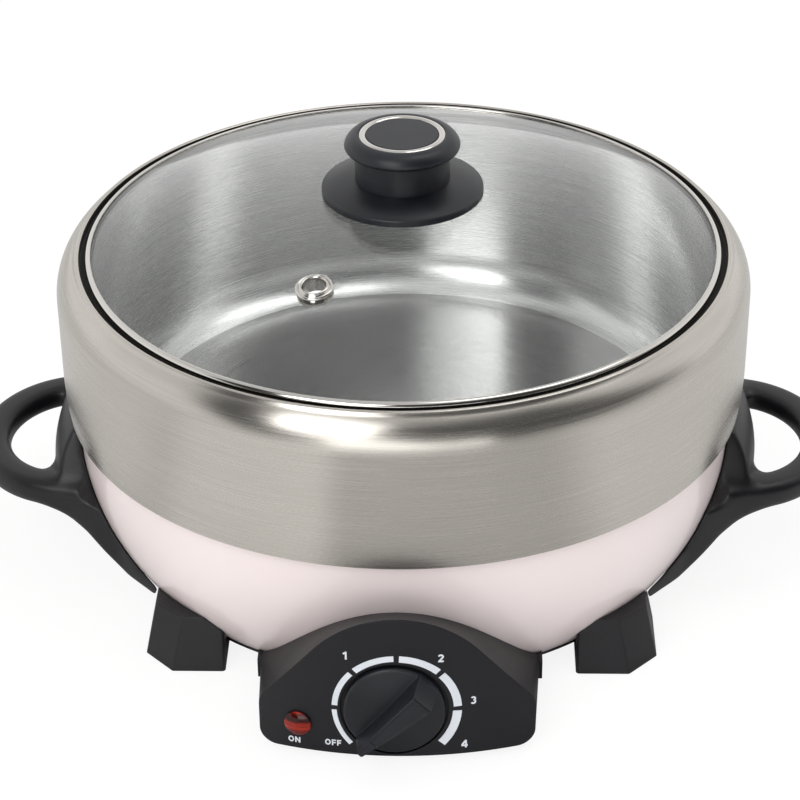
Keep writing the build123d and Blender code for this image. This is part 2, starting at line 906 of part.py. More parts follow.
def handle_loop():
    start = shell_radius + 2.0
    path = Pos(0, 0, loop_height) * (
        Line((start, -loop_half_width), (loop_root, -loop_half_width))
        + EllipticalCenterArc((loop_root, 0), loop_reach, loop_half_width, 270, arc_size=180)
        + Line((loop_root, loop_half_width), (start, loop_half_width))
    )
    section = Plane(origin=(start, -loop_half_width, loop_height), x_dir=(0, 1, 0), z_dir=(1, 0, 0))
    return sweep(section * loop_section(), path=path)


def limb_root():
    """Root of the front limb, which spreads outwards and downwards on its way into the saddle."""
    sections = []
    for step in range(root_sections):
        share = step / (root_sections - 1)
        x = loop_root + root_reach - root_length * share
        along = max(x - loop_root, 0.0) / loop_reach
        across = math.sqrt(1.0 - along ** 2)
        slope = loop_half_width * along / (loop_reach * across)
        plane = Plane(origin=(x, -loop_half_width * across, loop_height), x_dir=(-slope, 1, 0),
                      z_dir=(1, slope, 0))
        sections.append(plane * loop_section(share ** 2, seat_gap))
    return loft(sections)


def handle_saddle():
    heights = [saddle_bottom + (saddle_top - saddle_bottom) * step / 8 for step in range(9)]
    outside = Spline(*[(bowl_radius(height) + saddle_thickness(height), height) for height in heights])
    inside = saddle_toe_reach - 30.0
    band = turned(
        outside,
        Polyline(outside @ 1, (inside, saddle_top), (inside, saddle_bottom), outside @ 0),
    )
    reach = bowl_radius(loop_height) + saddle_bulge
    neck = saddle_neck_width / 2
    half_plan = [(reach + 2.0, neck * 0.6), (reach - 6.0, neck), (saddle_knee_reach, saddle_knee),
                 (saddle_toe_reach, saddle_toe), (saddle_toe_reach - 20.0, saddle_toe)]
    plan = make_face(Polyline(
        *half_plan, *[(x, -y) for x, y in reversed(half_plan)], close=True))
    half_side = [(saddle_toe, saddle_bottom), (saddle_toe, loop_height - 10.0), (neck, loop_height + 2.0),
                 (saddle_top_width / 2, saddle_top)]
    side = make_face(Polyline(
        *half_side, *[(-y, z) for y, z in reversed(half_side)], close=True))
    upright = Plane(origin=(0, 0, 0), x_dir=(0, 1, 0), z_dir=(1, 0, 0))
    walls = Pos(0, 0, saddle_bottom) * extrude(plan, saddle_top - saddle_bottom)
    return band & walls & extrude(upright * side, reach + 10.0)


def right_handle():
    foot_room = foot_block(saddle_gap)
    root = limb_root()
    piece = handle_loop() + handle_saddle() + root + mirror(root, Plane.XZ)
    piece = piece - bowl_solid(saddle_gap) - foot_room - mirror(foot_room, Plane.XZ)
    for place in handle_screw_places()[2:]:
        piece -= place * rod(handle_screw + running_gap, -20, 0.5)
    return piece


def handle_screws():
    low = handle_screw_height - handle_screw_head
    spread = handle_screw_spread + handle_screw_head
    seat = math.sqrt(bowl_radius(low, -shell_wall) ** 2 - spread ** 2) - 0.2
    inset = shell_radius - seat
    screw = rod(handle_screw, -inset, 0.3) + rod(handle_screw_head, -inset - 2.0, -inset)
    left, right = handle_screw_places()[:2], handle_screw_places()[2:]
    turned_about = Rot(0, 180, 0)
    return group([place * turned_about * screw for place in left] + [place * screw for place in right])


# ---- Control box ----

def face_radius(height, inset=0.0):
    """Radius of the box's curved face at a height."""
    return box_face - box_lean * (height - box_bottom) / box_height - inset


def box_outline(half_width, height, shoulder, flank, corner, rounding, inset, drop):
    """Outline of the box across its depth: a flat foot, upright sides, sloping flanks and a round crest."""
    slope = 2.0 * math.atan((height - shoulder) / (half_width + flank))
    wide = half_width - inset
    low = box_bottom - drop
    spring = box_bottom + shoulder + inset * (math.tan(slope) - 1.0 / math.cos(slope))
    apex = spring + wide * math.tan(slope)
    crest = box_bottom + height - inset
    crest_round = (apex - crest) * math.cos(slope) / (1.0 - math.cos(slope))
    face = make_face(Polyline((-wide, low), (wide, low), (wide, spring), (0, apex), (-wide, spring), close=True))
    face = fillet(face.vertices().sort_by(Axis.Y)[-1:], crest_round)
    face = fillet(face.vertices().sort_by(Axis.Y)[2:4], rounding)
    return fillet(face.vertices().sort_by(Axis.Y)[:2], corner)


def box_loft(inset, drop=0.0):
    """The box between its front and back outlines, drawn in by inset, its foot lowered by drop."""
    front_y = box_face + 2.0
    slope = (box_height - box_rear_height) / (box_face - box_rear)
    rise = slope * (front_y - box_face + box_lean)
    front = Plane(origin=(0, -front_y, 0), x_dir=(1, 0, 0), z_dir=(0, -1, 0))
    back = Plane(origin=(0, -box_rear, 0), x_dir=(1, 0, 0), z_dir=(0, -1, 0))
    return loft([
        back * box_outline(box_rear_half_width, box_rear_height, box_rear_shoulder, box_rear_flank,
                           box_rear_round, box_rear_round, inset, drop),
        front * box_outline(box_half_width, box_height + rise, box_shoulder + rise, box_flank,
                            box_corner, box_shoulder_round, inset, drop),
    ])


def face_cone(inset):
    """Everything behind the box's leaning face."""
    low, high = box_bottom - 10.0, box_bottom + box_height + 10.0
    return turned_points((0, low), (face_radius(low, inset), low), (face_radius(high, inset), high), (0, high))


def dial_frame():
    """Frame on the face at the dial, its z axis outwards and its y axis up the face."""
    lean = math.radians(box_lean_angle)
    return Plane(origin=(dial_offset, -face_radius(dial_height), dial_height), x_dir=(1, 0, 0),
                 z_dir=(0, -math.cos(lean), math.sin(lean)))


def lamp_frame():
    """Frame on the face at the lamp, its z axis outwards."""
    turn = math.asin(lamp_offset / face_radius(lamp_height))
    lean = math.radians(box_lean_angle)
    reach = face_radius(lamp_height)
    outward = (-math.sin(turn) * math.cos(lean), -math.cos(turn) * math.cos(lean), math.sin(lean))
    return Plane(origin=(-reach * math.sin(turn), -reach * math.cos(turn), lamp_height),
                 x_dir=(math.cos(turn), -math.sin(turn), 0), z_dir=outward)


def dial_seat(grown):
    """The disc behind the dial's recess, made larger by grown."""
    return dial_frame() * rod(dial_recess + 2.0 + grown, seat_back - grown, -0.5) & face_cone(0) & box_loft(0)


def control_housing():
    skin = (box_loft(0) & face_cone(0)) - (box_loft(box_wall, 12.0) & face_cone(box_wall))
    lug_root = box_rear_half_width - box_wall + 0.4
    lug = Box(lug_reach - lug_root, lug_length, lug_height)
    for side in (-1, 1):
        middle = side * (lug_reach + lug_root) / 2
        skin += Pos(middle, -box_rear - lug_length / 2, box_bottom + lug_height / 2) * lug
    skin = skin + dial_seat(0) - bowl_solid(saddle_gap)
    skin -= dial_frame() * rod(dial_recess, -dial_recess_depth, 8.0)
    skin -= dial_frame() * rod(bush_radius + 0.2, seat_back - 5.0, 5.0)
    skin -= lamp_frame() * rod(lamp_radius - 0.6 + seat_gap, -12.0, 6.0)
    return skin


def housing_cover():
    inset = box_wall + 0.2
    slab = Pos(0, 0, box_bottom + bottom_sheet / 2) * Box(400, 400, bottom_sheet)
    cover = box_loft(inset, 12.0) & face_cone(inset) & slab
    return cover - bowl_solid(saddle_gap) - dial_seat(0.2)


def scale_segment(index):
    """One printed segment of the dial, thicker towards the hot end, as a flat face."""
    pitch = scale_sweep / scale_segments
    start = 225.0 - pitch * index - scale_gap_angle / 2
    end = start - pitch + scale_gap_angle
    growth = (scale_thickest - scale_thinnest) / (scale_segments - 1)
    inner = scale_radius - scale_thinnest - growth * index
    outer_arc = CenterArc((0, 0), scale_radius, end, start - end)
    inner_arc = CenterArc((0, 0), inner, end, start - end)
    return make_face(Curve() + [
        outer_arc, inner_arc,
        Line(outer_arc @ 0, inner_arc @ 0),
        Line(outer_arc @ 1, inner_arc @ 1),
    ])


def dial_scale():
    skin = face_cone(-print_thickness) - face_cone(0)
    frame = dial_frame()
    return group(
        frame * Pos(-dial_offset, 0, -6.0) * extrude(scale_segment(index), 12.0) & skin
        for index in range(scale_segments)
    )


def lamp_lens():
    low = lamp_radius - 0.6
    lens = turned(
        Polyline((0, 2.6), (0, -0.5), (neon_radius + 0.4, -0.5), (neon_radius + 0.4, -lamp_length),
                 (low, -lamp_length), (low, 0.5), (lamp_radius, 0.5), (lamp_radius, 1.0)),
        crown(lamp_radius, 1.0, 1.6),
    )
    return lamp_frame() * lens


def neon_lamp():
    return lamp_frame() * rod(neon_radius, -lamp_length + 1.0, -0.5 - seat_gap)


def thermostat_back():
    """Y of the thermostat's rear face."""
    return -(face_radius(dial_height) + seat_back - thermostat_depth) + 1.0


def thermostat_body():
    body = Pos(0, 0, seat_back - thermostat_depth / 2) * Box(
        thermostat_width, thermostat_height, thermostat_depth)
    bush = rod(bush_radius, seat_back, nut_thickness + 0.2 - dial_recess_depth)
    bore = rod(shaft_radius + running_gap, seat_back - 14.0, 2.0)
    return dial_frame() * (body + bush - bore)


def thermostat_nut():
    hexagon = extrude(RegularPolygon(nut_size / 2, 6, major_radius=False), nut_thickness)
    nut = Pos(0, 0, -dial_recess_depth) * hexagon - rod(bush_radius + running_gap, -10, 10)
    return dial_frame() * nut


def thermostat_shaft():
    low = seat_back - 13.0
    shaft = rod(shaft_radius, low, low + shaft_length)
    flat = Pos(0, shaft_radius + 1.5, low + shaft_length) * Box(10, 4.0, 14.0)
    return dial_frame() * (shaft - flat)


def grip_section(reach, base_width, top_width, base, top):
    """Cross-section of the grip bar at a distance along it, as a flat face."""
    plane = Plane(origin=(reach, 0, 0), x_dir=(0, 1, 0), z_dir=(1, 0, 0))
    return plane * make_face(Polyline(
        (-base_width / 2, base), (base_width / 2, base), (top_width / 2, top), (-top_width / 2, top), close=True))


def control_knob():
    low = -dial_recess_depth + 0.5
    disc = turned(
        Polyline((0, low), (knob_radius, low), (knob_radius, low + knob_rim - 1.2)),
        ThreePointArc(
            (knob_radius, low + knob_rim - 1.2),
            (knob_radius - 0.4, low + knob_rim - 0.4),
            (knob_radius - 1.4, low + knob_rim),
        ),
        crown(knob_radius - 1.4, low + knob_rim, 1.2),
        Line((0, low + knob_rim + 1.2), (0, low)),
    )
    root = low + knob_rim - 1.0
    bar = loft([
        grip_section(-grip_far_reach, grip_far_base, grip_far_top, root, grip_far_height),
        grip_section(grip_tip_reach, grip_tip_base, grip_tip_top, root, grip_tip_height),
    ], ruled=True)
    hollow = rod(knob_radius - knob_wall - 5.0, low - 1, low + knob_rim - knob_wall)
    bore = rod(shaft_radius + running_gap, -10, seat_back - 13.0 + shaft_length + 0.2)
    piece = (disc - hollow) + bar - bore
    return dial_frame() * Rot(0, 0, 225) * piece


# ---- Power inlet and wiring ----

def power_inlet():
    body = Pos(0, inlet_face - inlet_depth / 2, inlet_middle) * Box(inlet_width, inlet_depth, inlet_height)
    body = fillet(body.edges().filter_by(Axis.Y), 4.0)
    socket = Pos(0, inlet_face - socket_depth / 2, inlet_middle) * Box(socket_width, socket_depth, socket_height)
    socket = fillet(socket.edges().filter_by(Axis.Y), 3.0)
    body -= socket
    for x in (-pin_pitch, 0, pin_pitch):
        body -= Pos(x, inlet_face - inlet_depth / 2 - 1, inlet_middle) * Box(
            pin_thickness + 0.1, inlet_depth, pin_width + 0.1)
    return body


def inlet_pins():
    length = inlet_depth
    pin = Box(pin_thickness, length, pin_width)
    return group(
        Pos(x, inlet_face - inlet_depth / 2 - 4.0, inlet_middle) * pin for x in (-pin_pitch, 0, pin_pitch))


def terminal_block():
    block = Pos(block_offset, block_y, block_low + block_height / 2) * Box(block_width, block_depth, block_height)
    for x in (-8, 0, 8):
        block -= Pos(block_offset + x, block_y, block_low + block_height) * Cylinder(2.0, 6)
    return block


def element_lead(index):
    """Lead from the terminal block to one end of the element."""
    x, y = terminal_places()[index]
    start = (block_offset - 8 + 16 * index, block_y, block_low + block_height - 3.0)
    low = lead_height + 5.0 * index
    return tube_along(
        lead_radius, 3.0,
        start,
        (start[0], start[1], low),
        (6.0 + 5.0 * index, -bowl_radius(low) + 2.0, low),
        (x, y - terminal_radius - lead_radius, low),
    )


def supply_lead():
    """Lead from the power inlet to the terminal block."""
    start = (pin_pitch, inlet_face - inlet_depth - 4.0 - seat_gap, inlet_middle)
    low = lead_height - 5.0
    return tube_along(
        lead_radius, 4.0,
        start,
        (start[0], start[1] - 10.0, inlet_middle),
        (start[0] + 6.0, start[1] - 28.0, low),
        (start[0] + 6.0, 0, low - 0.5),
        (9.0, -bowl_radius(low) + 4.0, low),
        (block_offset, block_y, low),
        (block_offset, block_y, block_low + block_height - 3.0),
    )


nodes = {
    "lid_glass": lid_glass(),
    "lid_rim_band": lid_rim_band(),
    "steam_vent": steam_vent(),
    "knob_gasket": knob_gasket(),
    "knob_flange": knob_flange(),
    "knob_grip": knob_grip(),
    "knob_trim_ring": knob_trim_ring(),
    "knob_cap": knob_cap(),
    "knob_insert": knob_insert(),
    "knob_washer": knob_washer(),
    "knob_screw": knob_screw(),
    "pot_inner": pot_inner(),
    "pot_band": pot_band(),
    "pot_disc": pot_disc(),
    "base_shell": base_shell(),
    "well_liner": well_liner(),
    "heating_plate": heating_plate(),
    "heating_element": heating_element(),
    "element_terminals": element_terminals(),
    "terminal_bushings": terminal_bushings(),
    "plate_posts": plate_posts(),
    "post_screws": post_screws(),
    "sensor_bulb": sensor_bulb(),
    "bulb_clip": bulb_clip(),
    "thermal_fuse": thermal_fuse(),
    "fuse_clip": fuse_clip(),
    "capillary": capillary(),
    "bottom_plate": bottom_plate(),
    "foot_pads": foot_pads(),
    "foot_screws": foot_screws(),
    "handle_right": right_handle(),
    "handle_left": mirror(right_handle(), Plane.YZ),
    "handle_screws": handle_screws(),
    "control_housing": control_housing(),
    "housing_cover": housing_cover(),
    "dial_scale": dial_scale(),
    "lamp_lens": lamp_lens(),
    "neon_lamp": neon_lamp(),
    "thermostat_body": thermostat_body(),
    "thermostat_nut": thermostat_nut(),
    "thermostat_shaft": thermostat_shaft(),
    "control_knob": control_knob(),
    "power_inlet": power_inlet(),
    "inlet_pins": inlet_pins(),
    "terminal_block": terminal_block(),
    "element_lead_left": element_lead(0),
    "element_lead_right": element_lead(1),
    "supply_lead": supply_lead(),
}
for side, end in foot_signs():
    name = "foot_" + ("front" if end < 0 else "rear") + ("_left" if side < 0 else "_right")
    nodes[name] = foot(side, end)

boxes = [piece.bounding_box() for piece in nodes.values()]
middle_y = (min(box.min.Y for box in boxes) + max(box.max.Y for box in boxes)) / 2
for name, piece in nodes.items():
    export_step(Pos(0, -middle_y, 0) * piece, "parts/" + name + ".step")
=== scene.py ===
"""Looks of an electric hot pot: a steel pot with a glass lid, lifted out of a pink heater base on feet.

Metres, +Z up, the table at z = 0. The pot's axis stands at x = 0, y = axis_y. Sizes in millimetres
are written as such and multiplied by mm.
"""

import math

import bmesh
import bpy
import numpy as np
from mathutils import Matrix, Vector


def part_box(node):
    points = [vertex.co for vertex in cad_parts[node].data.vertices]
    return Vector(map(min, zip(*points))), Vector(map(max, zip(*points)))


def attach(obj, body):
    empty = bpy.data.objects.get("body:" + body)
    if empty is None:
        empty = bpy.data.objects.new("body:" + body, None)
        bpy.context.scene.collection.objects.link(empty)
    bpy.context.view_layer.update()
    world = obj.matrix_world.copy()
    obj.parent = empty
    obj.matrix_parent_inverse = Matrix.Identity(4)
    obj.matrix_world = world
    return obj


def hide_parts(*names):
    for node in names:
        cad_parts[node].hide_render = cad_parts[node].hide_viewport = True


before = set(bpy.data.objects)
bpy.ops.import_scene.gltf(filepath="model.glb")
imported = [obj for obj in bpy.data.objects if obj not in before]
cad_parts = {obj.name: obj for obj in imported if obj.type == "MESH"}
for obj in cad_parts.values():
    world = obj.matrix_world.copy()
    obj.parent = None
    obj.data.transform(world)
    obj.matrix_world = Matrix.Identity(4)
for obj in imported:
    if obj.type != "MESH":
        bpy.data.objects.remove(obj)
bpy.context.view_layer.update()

# ---- Studio ----
# The pot stands on a white table that runs on as its background. A large soft box hangs above and to
# the left of the camera, a second one overhead, and a weak one lights the bowl from low in front.

pot_low, pot_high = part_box("pot_inner")
axis_y = (pot_low.y + pot_high.y) / 2.0


def soft_box(name, towards, distance, size, power):
    """Area lamp at a distance from the pot along a direction, facing the pot."""
    lamp = bpy.data.lights.new(name, "AREA")
    lamp.shape = "RECTANGLE"
    lamp.size, lamp.size_y = size
    lamp.energy = power
    holder = bpy.data.objects.new(name, lamp)
    bpy.context.scene.collection.objects.link(holder)
    direction = Vector(towards).normalized()
    holder.matrix_world = (Matrix.Translation(Vector((0.0, axis_y, 0.1)) + direction * distance)
                           @ direction.to_track_quat("Z", "Y").to_matrix().to_4x4())


soft_box("front_soft_box", (-0.32, -0.69, 0.64), 1.9, (0.9, 1.0), 9.0)
soft_box("top_soft_box", (0.34, 0.12, 0.93), 1.8, (0.6, 1.1), 4.0)
soft_box("low_soft_box", (0.05, -0.99, 0.10), 1.6, (1.4, 0.4), 2.5)

# The room as metal and glass see it: white behind the pot and overhead, dark on the camera's side
# from the table up to 65 degrees, but for the front soft box. Both lean to the left with height.
world = bpy.data.worlds.new("studio")
bpy.context.scene.world = world
world.use_nodes = True
nodes, links = world.node_tree.nodes, world.node_tree.links
nodes.clear()


def grey_ramp(nodes, links, source, stops):
    """Grey level read from a row of (place, level) stops."""
    curve = nodes.new("ShaderNodeValToRGB")
    curve.color_ramp.interpolation = "EASE"
    elements = curve.color_ramp.elements
    elements[0].position, elements[1].position = stops[0][0], stops[-1][0]
    elements[0].color = (stops[0][1],) * 3 + (1.0,)
    elements[1].color = (stops[-1][1],) * 3 + (1.0,)
    for position, level in stops[1:-1]:
        elements.new(position).color = (level,) * 3 + (1.0,)
    links.new(source, curve.inputs[0])
    return curve.outputs["Color"]


def arithmetic(nodes, links, operation, first, second):
    """One step of arithmetic on two sockets or numbers."""
    step = nodes.new("ShaderNodeMath")
    step.operation = operation
    for value, socket in ((first, step.inputs[0]), (second, step.inputs[1])):
        if isinstance(value, (int, float)):
            socket.default_value = value
        else:
            links.new(value, socket)
    return step.outputs[0]


sky_parts = nodes.new("ShaderNodeSeparateXYZ")
links.new(nodes.new("ShaderNodeTexCoord").outputs["Generated"], sky_parts.inputs[0])
towards_camera = arithmetic(nodes, links, "MULTIPLY", sky_parts.outputs["Y"], -1.0)
round_angle = arithmetic(nodes, links, "ARCTAN2", sky_parts.outputs["X"], towards_camera)
round_share = arithmetic(nodes, links, "DIVIDE", round_angle, 2.0 * math.pi)
round_share = arithmetic(nodes, links, "ADD", round_share, 0.5)
height_share = arithmetic(nodes, links, "MULTIPLY", sky_parts.outputs["Z"], 0.5)
height_share = arithmetic(nodes, links, "ADD", height_share, 0.5)
upright_height, lean_rate = 0.757, 0.25
leaning = arithmetic(nodes, links, "SUBTRACT", height_share, upright_height)
leaning = arithmetic(nodes, links, "MULTIPLY", leaning, lean_rate)
round_share = arithmetic(nodes, links, "ADD", round_share, leaning)
wall_level = grey_ramp(nodes, links, round_share, [
    (0.0, 0.95), (0.28, 0.95), (0.325, 0.05), (0.38, 0.05), (0.395, 1.2), (0.465, 1.2), (0.48, 0.05),
    (0.70, 0.05), (0.74, 0.95), (1.0, 0.95)])
open_level = grey_ramp(nodes, links, height_share, [
    (0.0, 0.95), (0.5, 0.95), (0.70, 0.9), (0.82, 0.8), (0.93, 0.6), (1.0, 0.62)])
wall_share = grey_ramp(nodes, links, height_share, [
    (0.0, 0.0), (0.49, 0.0), (0.53, 1.0), (0.92, 1.0), (0.955, 0.0), (1.0, 0.0)])
room_level = nodes.new("ShaderNodeMix")
links.new(wall_share, room_level.inputs[0])
links.new(open_level, room_level.inputs[2])
links.new(arithmetic(nodes, links, "MULTIPLY", wall_level, open_level), room_level.inputs[3])


def white_sky(strength):
    """White sky of one strength."""
    shader = nodes.new("ShaderNodeBackground")
    shader.inputs["Color"].default_value = (1.0, 1.0, 1.0, 1.0)
    shader.inputs["Strength"].default_value = strength
    return shader


lighting_sky, seen_sky, mirrored_sky = white_sky(0.72), white_sky(1.0), white_sky(1.0)
links.new(room_level.outputs[0], mirrored_sky.inputs["Strength"])
rays = nodes.new("ShaderNodeLightPath")
mirror_rays = arithmetic(
    nodes, links, "MAXIMUM", rays.outputs["Is Glossy Ray"], rays.outputs["Is Transmission Ray"])
to_mirror = nodes.new("ShaderNodeMixShader")
links.new(mirror_rays, to_mirror.inputs[0])
links.new(lighting_sky.outputs[0], to_mirror.inputs[1])
links.new(mirrored_sky.outputs[0], to_mirror.inputs[2])
to_camera = nodes.new("ShaderNodeMixShader")
links.new(rays.outputs["Is Camera Ray"], to_camera.inputs[0])
links.new(to_mirror.outputs[0], to_camera.inputs[1])
links.new(seen_sky.outputs[0], to_camera.inputs[2])
links.new(to_camera.outputs[0], nodes.new("ShaderNodeOutputWorld").inputs["Surface"])

# The table glows a little towards the camera, so that it runs into the background but keeps the
# pot's shadow. In metal it shows a painted reflection, darker to the right of the soft box.
floor_data = bpy.data.meshes.new("floor")
floor_data.from_pydata([(-6, -6, 0), (6, -6, 0), (6, 6, 0), (-6, 6, 0)], [], [(0, 1, 2, 3)])
floor = bpy.data.objects.new("floor", floor_data)
bpy.context.scene.collection.objects.link(floor)
table_top = bpy.data.materials.new("table_top")
table_top.use_nodes = True
nodes, links = table_top.node_tree.nodes, table_top.node_tree.links
matt = nodes["Principled BSDF"]
matt.inputs["Roughness"].default_value = 0.9
matt.inputs["Specular IOR Level"].default_value = 0.1
glow = nodes.new("ShaderNodeEmission")
glow.inputs["Strength"].default_value = 1.08
glow_share = 0.80
rays = nodes.new("ShaderNodeLightPath")
floor_parts = nodes.new("ShaderNodeSeparateXYZ")
links.new(nodes.new("ShaderNodeTexCoord").outputs["Object"], floor_parts.inputs[0])
towards_camera = arithmetic(nodes, links, "SUBTRACT", axis_y, floor_parts.outputs["Y"])
round_angle = arithmetic(nodes, links, "ARCTAN2", floor_parts.outputs["X"], towards_camera)
round_share = arithmetic(nodes, links, "DIVIDE", round_angle, 2.0 * math.pi)
round_share = arithmetic(nodes, links, "ADD", round_share, 0.5)
# Painted reflection: the table's colour for glossy rays only, set by the angle round the pot.
painted_reflection_level = grey_ramp(nodes, links, round_share, [
    (0.0, 0.76), (0.28, 0.76), (0.32, 0.68), (0.35, 0.80), (0.44, 0.80), (0.465, 0.50), (0.60, 0.54),
    (0.66, 0.80), (1.0, 0.76)])
seen_in_metal = nodes.new("ShaderNodeMixRGB")
seen_in_metal.inputs["Color1"].default_value = (0.88, 0.88, 0.87, 1.0)
links.new(rays.outputs["Is Glossy Ray"], seen_in_metal.inputs["Fac"])
links.new(painted_reflection_level, seen_in_metal.inputs["Color2"])
links.new(seen_in_metal.outputs["Color"], matt.inputs["Base Color"])
lifted = nodes.new("ShaderNodeMixShader")
links.new(arithmetic(nodes, links, "MULTIPLY", rays.outputs["Is Camera Ray"], glow_share), lifted.inputs[0])
links.new(matt.outputs[0], lifted.inputs[1])
links.new(glow.outputs[0], lifted.inputs[2])
links.new(lifted.outputs[0], nodes["Material Output"].inputs["Surface"])
floor_data.materials.append(table_top)

# The camera looks down on the pot from the front.
eye = Vector((0.0243, axis_y - 0.9608, 0.6606))
pitch, turn, roll = math.radians(31.61), math.radians(1.57), math.radians(-0.58)
ahead = Vector((-math.sin(turn) * math.cos(pitch), math.cos(turn) * math.cos(pitch), -math.sin(pitch)))
level = ahead.cross(Vector((0.0, 0.0, 1.0))).normalized()
rise = level.cross(ahead)
across = level * math.cos(roll) + rise * math.sin(roll)
up = rise * math.cos(roll) - level * math.sin(roll)
camera_data = bpy.data.cameras.new("camera")
camera_data.sensor_width = 36.0
camera_data.lens = 112.5
camera_data.clip_start, camera_data.clip_end = 0.01, 50.0
camera = bpy.data.objects.new("camera", camera_data)
bpy.context.scene.collection.objects.link(camera)
camera.matrix_world = Matrix((
    (across.x, up.x, -ahead.x, eye.x),
    (across.y, up.y, -ahead.y, eye.y),
    (across.z, up.z, -ahead.z, eye.z),
    (0.0, 0.0, 0.0, 1.0),
))
bpy.context.scene.camera = camera
bpy.context.scene.view_settings.view_transform = "Standard"

# ---- Heater bowl ----
# The outer bowl is deep-drawn steel sheet, sprayed a pale pink and baked under a clear gloss coat.
# The pot hangs its band over the bowl's upper edge, and the bottom plate closes it from below.

mm = 0.001


def screen(red, green, blue):
    """Linear colour of an 8-bit screen colour: each part over 255, to the power 2.2."""
    return tuple((part / 255.0) ** 2.2 for part in (red, green, blue)) + (1.0,)


def plain_shader(name, colour, metallic, roughness):
    """Material with one Principled shader; returns it with its nodes, links and shader."""
    material = bpy.data.materials.new(name)
    material.use_nodes = True
    tree = material.node_tree
    shader = tree.nodes["Principled BSDF"]
    shader.inputs["Base Color"].default_value = colour
    shader.inputs["Metallic"].default_value = metallic
    shader.inputs["Roughness"].default_value = roughness
    return material, tree.nodes, tree.links, shader


def noise(nodes, links, vector, scale, detail=3.0):
    """Noise texture of a scale per metre, read at a vector socket."""
    texture = nodes.new("ShaderNodeTexNoise")
    texture.inputs["Scale"].default_value = scale
    texture.inputs["Detail"].default_value = detail
    links.new(vector, texture.inputs["Vector"])
    return texture.outputs["Fac"]


def spread(nodes, links, source, low, high, half=0.2):
    """A noise value, 0.5 - half to 0.5 + half, mapped to low to high."""
    mapped = nodes.new("ShaderNodeMapRange")
    mapped.inputs["From Min"].default_value = 0.5 - half
    mapped.inputs["From Max"].default_value = 0.5 + half
    mapped.inputs["To Min"].default_value = low
    mapped.inputs["To Max"].default_value = high
    links.new(source, mapped.inputs["Value"])
    return mapped.outputs["Result"]


def tinted(nodes, links, source, dark, light):
    """Colour that runs from dark to light as a 0..1 socket does."""
    mixed = nodes.new("ShaderNodeMixRGB")
    mixed.inputs["Color1"].default_value = dark
    mixed.inputs["Color2"].default_value = light
    links.new(source, mixed.inputs["Fac"])
    return mixed.outputs["Color"]


def grained(name, dark, light, metallic, rough, grain, depth, patch=60.0, edge=0.0):
    """Finish with a fine bump, colour and roughness in soft patches, and edges rounded to a radius."""
    material, nodes, links, shader = plain_shader(name, light, metallic, rough[0])
    place = nodes.new("ShaderNodeTexCoord").outputs["Object"]
    patches = noise(nodes, links, place, patch)
    links.new(tinted(nodes, links, spread(nodes, links, patches, 0.0, 1.0), dark, light),
              shader.inputs["Base Color"])
    links.new(spread(nodes, links, patches, rough[0], rough[1]), shader.inputs["Roughness"])
    bump = nodes.new("ShaderNodeBump")
    bump.inputs["Distance"].default_value = depth
    links.new(noise(nodes, links, place, grain), bump.inputs["Height"])
    if edge:
        rounded = nodes.new("ShaderNodeBevel")
        rounded.samples = 6
        rounded.inputs["Radius"].default_value = edge
        links.new(rounded.outputs[0], bump.inputs["Normal"])
    links.new(bump.outputs["Normal"], shader.inputs["Normal"])
    return material


def dress(material, *names):
    """Gives CAD pieces one material."""
    for name in names:
        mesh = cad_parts[name].data
        mesh.materials.clear()
        mesh.materials.append(material)


lacquer = grained("pink_lacquer", screen(243, 228, 226), screen(249, 236, 235), 0.0, (0.30, 0.36), 180.0,
                  0.02 * mm, patch=8.0)
gloss = lacquer.node_tree.nodes["Principled BSDF"]
gloss.inputs["Coat Weight"].default_value = 0.7
gloss.inputs["Coat Roughness"].default_value = 0.03
dress(lacquer, "base_shell")

# ---- Pot ----
# The pot is deep-drawn stainless steel, brushed round inside. A satin band with a wide round shoulder
# is crimped round its rolled mouth, and a cast disc is bonded under its floor.


def round_place(nodes, links, along, across_scale):
    """Distance from the axis, and a vector for lines brushed round the pot: the direction from the
    axis times along, lifted by the distance travelled over the profile times across_scale."""
    place = nodes.new("ShaderNodeTexCoord").outputs["Object"]
    parts = nodes.new("ShaderNodeSeparateXYZ")
    links.new(place, parts.inputs[0])
    side = parts.outputs["X"]
    depth = arithmetic(nodes, links, "SUBTRACT", parts.outputs["Y"], axis_y)
    square = arithmetic(nodes, links, "ADD", arithmetic(nodes, links, "MULTIPLY", side, side),
                        arithmetic(nodes, links, "MULTIPLY", depth, depth))
    radius = arithmetic(nodes, links, "SQRT", square, 0.0)
    long = arithmetic(nodes, links, "DIVIDE", along, arithmetic(nodes, links, "MAXIMUM", radius, 0.001))
    travel = arithmetic(nodes, links, "ADD", radius, parts.outputs["Z"])
    vector = nodes.new("ShaderNodeCombineXYZ")
    links.new(arithmetic(nodes, links, "MULTIPLY", side, long), vector.inputs["X"])
    links.new(arithmetic(nodes, links, "MULTIPLY", depth, long), vector.inputs["Y"])
    links.new(arithmetic(nodes, links, "MULTIPLY", travel, across_scale), vector.inputs["Z"])
    return radius, vector.outputs[0]


